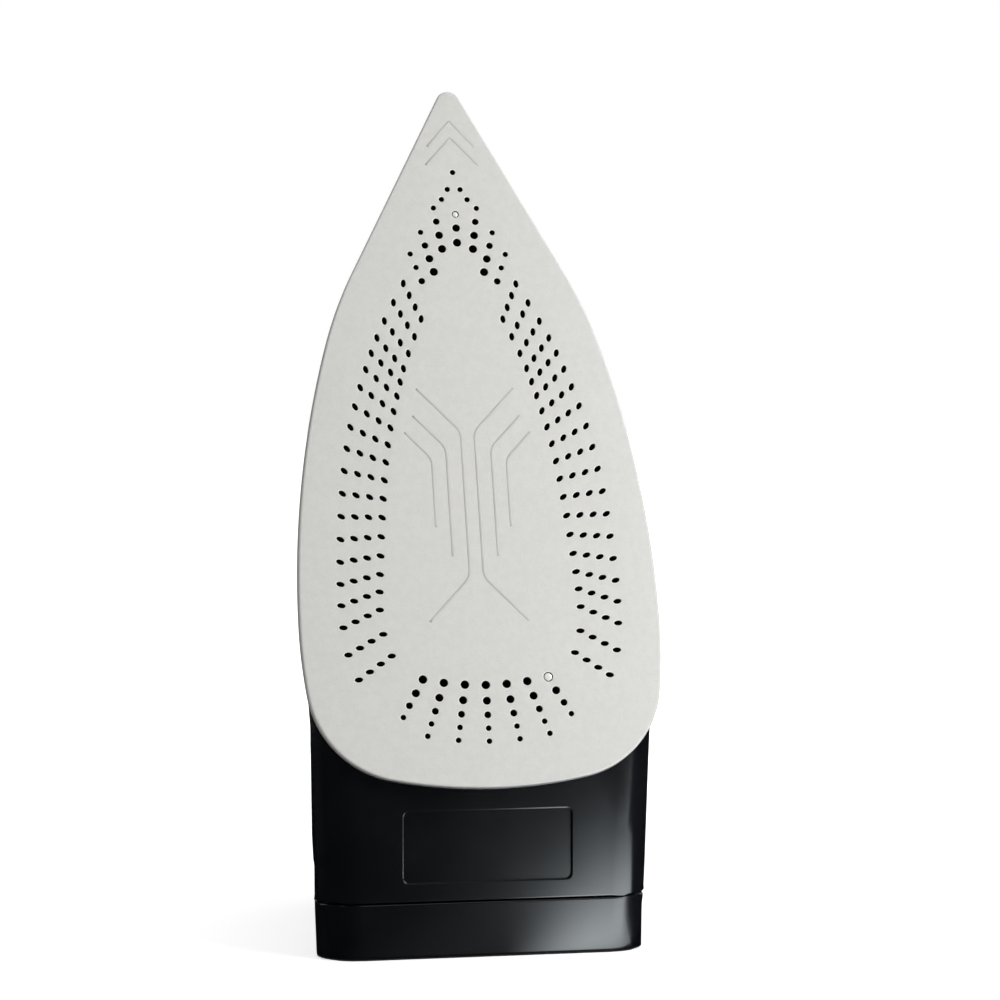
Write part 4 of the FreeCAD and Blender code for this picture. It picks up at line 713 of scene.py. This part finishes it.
# The hole walls take the painted shade, and the bands of the rims the painted highlight.
for wall in {face for edge in hole_edges for face in edge.link_faces if abs(face.normal.z) < 0.5}:
    wall.material_index = WALLS
for band in bevel(sole, hole_edges, HOLE_RIM):
    band.material_index = RIM_BANDS
bevel(sole, [edge for edge in outer_edges if edge.is_valid], SOLE_RIM, segments=3)
bmesh.ops.transform(sole, matrix=STANCE, verts=sole.verts)
bmesh.ops.recalc_face_normals(sole, faces=sole.faces[:])
plate = settle("soleplate_coated", sole, "sole_coating", body_of["soleplate"], "soleplate")
for finish in (scale, painted_rim):
    plate.data.materials.append(finish.material)

# %% [markdown]
# ## Printed lines
#
# Thin grey lines decorate the coating: two chevrons behind the nose, and a fan of pinstripes down the
# middle, each further out and shorter than the last. Each line is a Bezier curve whose corners are
# rounded by two points with handles that reach towards the corner. Its round bevel is pressed nearly
# flat, so that it lies on the sole like ink.

# %% Lines on the sole
LINE_WIDE, LINE_HIGH, LINE_CORNER, CURVE_STEPS = 0.74, 0.05, 2.3, 6
CHEVRONS, CHEVRON_CORNER = [(229.6, 9.4, 8.2), (223.6, 10.0, 9.1)], 0.6
STRIPE_MIDDLE, STRIPE_SLANT, HANDLE_REACH = 0.62, 1.05, 0.6
STRIPES = [(2.3, 119.7, 70.0, 14.2), (7.6, 114.1, 77.0, 10.6), (12.6, 110.4, 87.0, 8.7)]


def printed_lines():
    """Corners of each line, and how far its corners are cut back."""
    for tip, drop, half in CHEVRONS:
        yield [(-half, tip - drop), (0, tip), (half, tip - drop)], CHEVRON_CORNER
    for number, (x, high, low, flare) in enumerate(STRIPES):
        for side in (1, -1):
            inner, outer = STRIPE_MIDDLE + side * x, STRIPE_MIDDLE + side * (x + flare)
            run = [(outer, high + STRIPE_SLANT * flare), (inner, high), (inner, low)]
            yield run if number else run + [(outer, low - STRIPE_SLANT * flare)], LINE_CORNER


def rounded_line(curve, corners, cut):
    corners = [Vector((x, y, 0)) for x, y in corners]
    stops = [(corners[0], corners[0])]
    for before, corner, after in zip(corners, corners[1:], corners[2:]):
        stops += [(corner + (end - corner).normalized() * cut, corner) for end in (before, after)]
    stops.append((corners[-1], corners[-1]))
    spline = curve.splines.new("BEZIER")
    spline.resolution_u = CURVE_STEPS
    spline.bezier_points.add(len(stops) - 1)
    for number, (point, (place, corner)) in enumerate(zip(spline.bezier_points, stops)):
        handle = place.lerp(corner, HANDLE_REACH)
        point.co = place
        point.handle_left, point.handle_right = (place, handle) if number % 2 else (handle, place)


ink = moulded("sole_ink", (0.52, 0.52, 0.495), 0.5, 0.6, 0.001, Specular_IOR_Level=0.3)
drawing = bpy.data.curves.new("sole_lines", "CURVE")
drawing.dimensions = "3D"
drawing.bevel_depth, drawing.bevel_resolution = LINE_WIDE / 2, 1
for corners, cut in printed_lines():
    rounded_line(drawing, corners, cut)
drawn = bpy.data.objects.new("sole_lines_drawing", drawing)
lines = bmesh.new()
lines.from_mesh(bpy.data.meshes.new_from_object(drawn))
bpy.data.objects.remove(drawn)
bmesh.ops.scale(lines, vec=(1, 1, 2 * LINE_HIGH / LINE_WIDE), verts=lines.verts)
bmesh.ops.holes_fill(lines, edges=lines.edges[:], sides=8)
bmesh.ops.transform(lines, matrix=STANCE, verts=lines.verts)
bmesh.ops.recalc_face_normals(lines, faces=lines.faces[:])
print(len(drawing.splines), "lines")
settle("sole_lines", lines, "sole_coating", body_of["soleplate"], finish=ink)

# %% [markdown]
# ## Screws of the sole
#
# Two small screws hold the sole to the base from below. Their bright domed heads sit just under its face,
# each in a shadowed ring, and a cross recess breaks the shine.

# %% A screw's head
HEAD_RADIUS, HEAD_LEVEL, HEAD_THICK, HEAD_GAP, HEAD_SIDES = 1.5, 0.25, 1.5, 0.27, 32
DOME_WIDE, DOME_HIGH = 0.25, 0.18
CROSS_LONG, CROSS_WIDE, CROSS_DEEP, CROSS_TAPER = 1.7, 0.36, 0.3, 0.7


def cross_outline():
    """A cross: two sides of one arm and the end between them, spun to four."""
    near, far = CROSS_WIDE / 2, CROSS_LONG / 2
    cross = bmesh.new()
    arm = [cross.verts.new((a, b, 0)) for a, b in ((near, near), (near, far), (-near, far))]
    for one, two in zip(arm, arm[1:]):
        cross.edges.new((one, two))
    bmesh.ops.spin(cross, geom=arm + cross.edges[:], cent=(0, 0, 0), axis=(0, 0, 1), angle=math.tau, steps=4,
                   use_duplicate=True, use_merge=False)
    bmesh.ops.remove_doubles(cross, verts=cross.verts, dist=TOUCH)
    return cross


def add_head(shape, x, y, turn, size):
    """A domed disc. Its top is filled round a cross, whose edges are then pushed in and closed."""
    head = cross_outline()
    bmesh.ops.create_circle(head, segments=HEAD_SIDES, radius=HEAD_RADIUS - DOME_WIDE)
    bmesh.ops.triangle_fill(head, edges=head.edges[:], use_beauty=True)
    open_edges = [edge for edge in head.edges if edge.is_boundary]
    inner = [edge for edge in open_edges if edge.verts[0].co.length < (CROSS_LONG + CROSS_WIDE) / 2]
    sunk = bmesh.ops.extrude_edge_only(head, edges=inner)["geom"]
    bottom = only(BMVert, sunk)
    bmesh.ops.translate(head, vec=(0, 0, CROSS_DEEP), verts=bottom)
    bmesh.ops.scale(head, vec=(CROSS_TAPER, CROSS_TAPER, 1), verts=bottom)
    floor_edges = [edge for edge in only(BMEdge, sunk) if all(vertex in bottom for vertex in edge.verts)]
    bmesh.ops.edgenet_fill(head, edges=floor_edges)
    rim = [edge for edge in head.edges if edge.is_boundary]
    for level in (DOME_HIGH, HEAD_THICK):
        ring = bmesh.ops.extrude_edge_only(head, edges=rim)["geom"]
        skirt = only(BMVert, ring)
        wider = HEAD_RADIUS / skirt[0].co.xy.length
        bmesh.ops.scale(head, vec=(wider, wider, 1), verts=skirt)
        bmesh.ops.translate(head, vec=(0, 0, level - skirt[0].co.z), verts=skirt)
        rim = [edge for edge in only(BMEdge, ring) if edge.is_boundary]
    bmesh.ops.holes_fill(head, edges=rim, sides=HEAD_SIDES)
    place = Matrix.Translation((x, y, HEAD_LEVEL)) @ Matrix.Rotation(turn, 4, "Z")
    bmesh.ops.transform(head, matrix=place @ Matrix.Diagonal((size, size, 1, 1)), verts=head.verts)
    mesh = bpy.data.meshes.new("head")
    head.to_mesh(mesh)
    head.free()
    shape.from_mesh(mesh)
    bpy.data.meshes.remove(mesh)


# %% Both screws
FIRST_TURN, NEXT_TURN = 20, 35
heads = bmesh.new()
for number, ((x, y), radius) in enumerate(SOLE_SCREWS.items()):
    turn = math.radians(FIRST_TURN + NEXT_TURN * number)
    add_head(heads, x, y, turn, (radius - HEAD_GAP) / HEAD_RADIUS)
bmesh.ops.transform(heads, matrix=STANCE, verts=heads.verts)
bmesh.ops.recalc_face_normals(heads, faces=heads.faces[:])
plated = moulded("screw_plating", (0.93, 0.93, 0.91), 0.3, 0.4, 0.002, Metallic=0.25)
settle("sole_screw_heads", heads, "steel", body_of["sole_screws"], "sole_screws", finish=plated)
print(len(SOLE_SCREWS), "screws")

# %% [markdown]
# ## Floor and light
#
# The iron stands on a pale floor in front of nothing. Camera rays see both the world and the floor as
# white, and the floor's own shading keeps the shadow. The added white is weaker near the iron, where the
# shadow is. Sizes and places are in metres from here on.

# %% Floor
FLOOR_HALF, FLOOR_TONE = 6.0, (0.82, 0.82, 0.82)
NEAR_GLOW, NEAR_FADE = 0.62, (0.1, 0.45)
floor_shape = bmesh.new()
bmesh.ops.create_grid(floor_shape, x_segments=2, y_segments=2, size=FLOOR_HALF)
floor_finish = Finish("floor", FLOOR_TONE, 0.9, Specular_IOR_Level=0.0, Emission_Strength=1.0)
place = floor_finish.place()
from_iron = floor_finish.node("ShaderNodeVectorMath", {"operation": "LENGTH"}, (place,), "Value")
white = floor_finish.ray("Camera") * (from_iron.ramp(*NEAR_FADE) * (1 - NEAR_GLOW) + NEAR_GLOW)
floor_finish.set("Emission Color", floor_finish.blend(white, (0, 0, 0), (1, 1, 1)))
floor = object_from("floor", floor_shape, floor_finish)
print("floor %.0f m wide" % (2 * FLOOR_HALF))


# %% [markdown]
# Black plastic shows what stands round it more than its own colour. Dark cards in front, behind, at both
# sides and on the floor are seen only by reflections.

# %% Cards for reflections
def card(name, centre, normal, wide, high, finish):
    shape = bmesh.new()
    turned = Vector(normal).to_track_quat("Z", "Y").to_matrix().to_4x4()
    place = Matrix.Translation(centre) @ turned @ Matrix.Diagonal((wide, high, 1, 1))
    bmesh.ops.create_grid(shape, x_segments=2, y_segments=2, size=0.5, matrix=place)
    flag = object_from(name, shape, finish)
    flag.visible_camera = flag.visible_diffuse = flag.visible_shadow = flag.visible_transmission = False


dark = Finish("card_dark", (0.0, 0.0, 0.0), 1.0, Specular_IOR_Level=0.0)
card("card_front", (-0.3, -1.5, 0.9), (0, 1, 0), 3.4, 2.4, dark)
card("card_behind", (-0.75, 1.3, 0.5), (0, -1, 0), 1.4, 1.4, dark)
card("card_left", (-1.1, -0.5, 0.7), (1, 0.3, 0), 1.8, 2.0, dark)
card("card_right", (1.0, -0.5, 0.7), (-1, 0.3, 0), 1.4, 2.0, dark)
card("card_floor", (0, -0.45, 0.0006), (0, 0, 1), 2.4, 2.4, dark)
print("dark cards ready")

# %% [markdown]
# One bright card lies on the floor before the heel and starts under its face, a little right of the
# middle. Its glow is bounded by two lines that run out from that point: one turns right by 18.5 degrees,
# and the glow lies to the right of it, with a faint rest on its left; the other turns right by 58 degrees
# and ends the glow. It fades with distance too, so that its reflection fades up the heel. Its values are in
# millimetres again.

# %% The bright card
GLOW_AT, GLOW_LEFT, GLOW_RIGHT, GLOW_LEVEL = 29, 18.5, 58, 1
GLOW_WIDE, GLOW_LONG, GLOW_SHIFT, GLOW_GAP = 420, 300, 92.4, 1
GLOW_COLOUR, GLOW_POWER, FAINT = (0.9, 0.97, 1), 9.0, 0.05
LEFT_FADE, FAINT_FADE, RIGHT_FADE, FAR_FADE = (-24, 6), (-90, 6), (-10, 30), (85, 250)


def bearing(degrees):
    """Level directions along and across a line that turns right of straight out from the heel's face."""
    turned = math.radians(degrees)
    return Vector((math.sin(turned), -math.cos(turned), 0)), Vector((math.cos(turned), math.sin(turned), 0))


bright = Finish("card_bright", (0, 0, 0), 1.0, Specular_IOR_Level=0.0, Emission_Strength=GLOW_POWER)
glow_start = Vector((GLOW_AT * MM, FRONT + HEEL_FACE * MM, GLOW_LEVEL * MM))
outwards, sideways = [bright.level(line, glow_start) for line in bearing(GLOW_LEFT)]
past = bright.level(bearing(GLOW_RIGHT)[1], glow_start)
glow = sideways.ramp(*LEFT_FADE) * (1 - FAINT) + sideways.ramp(*FAINT_FADE) * FAINT
glow = glow * (1 - past.ramp(*RIGHT_FADE)) * (1 - outwards.ramp(*FAR_FADE))
bright.set("Emission Color", bright.blend(glow, (0, 0, 0), GLOW_COLOUR))
glow_middle = glow_start + Vector((GLOW_SHIFT, -GLOW_LONG / 2 - GLOW_GAP, 0)) * MM
card("card_glint", glow_middle, (0, 0, 1), GLOW_WIDE * MM, GLOW_LONG * MM, bright)
print("bright card at", [round(value, 3) for value in glow_middle])

# %% [markdown]
# A soft lamp to the right and a larger one far to the left shape the sole, a third high up behind catches
# the top edges, and a dim white world fills in. Rays that the camera, a reflection or glass sends out see
# the world at full white.

# %% Lamps
LAMP_AIM = Vector((0, 0, 0.14))


def lamp(name, place, size, power):
    data = bpy.data.lights.new(name, "AREA")
    data.shape, data.size, data.energy = "SQUARE", size, power
    light = bpy.data.objects.new(name, data)
    light.location = place
    light.rotation_euler = (LAMP_AIM - light.location).to_track_quat("-Z", "Y").to_euler()
    scene.collection.objects.link(light)


lamp("key", (0.55, -0.5, 0.4), 0.45, 4.6)
lamp("fill", (-1.5, -0.9, 0.9), 0.9, 3.4)
lamp("crown", (0.2, 0.7, 1.6), 1.0, 9)
print("lamps ready")

# %% World
AMBIENT = 0.3
world = bpy.data.worlds.new("studio")
scene.world = world
sky = Shading(world, "Background")
sky.set("Color", (1, 1, 1, 1))
sky.set("Strength", sky.ray("Camera", "Glossy", "Transmission") * (1 - AMBIENT) + AMBIENT)
scene.view_settings.view_transform = "Standard"
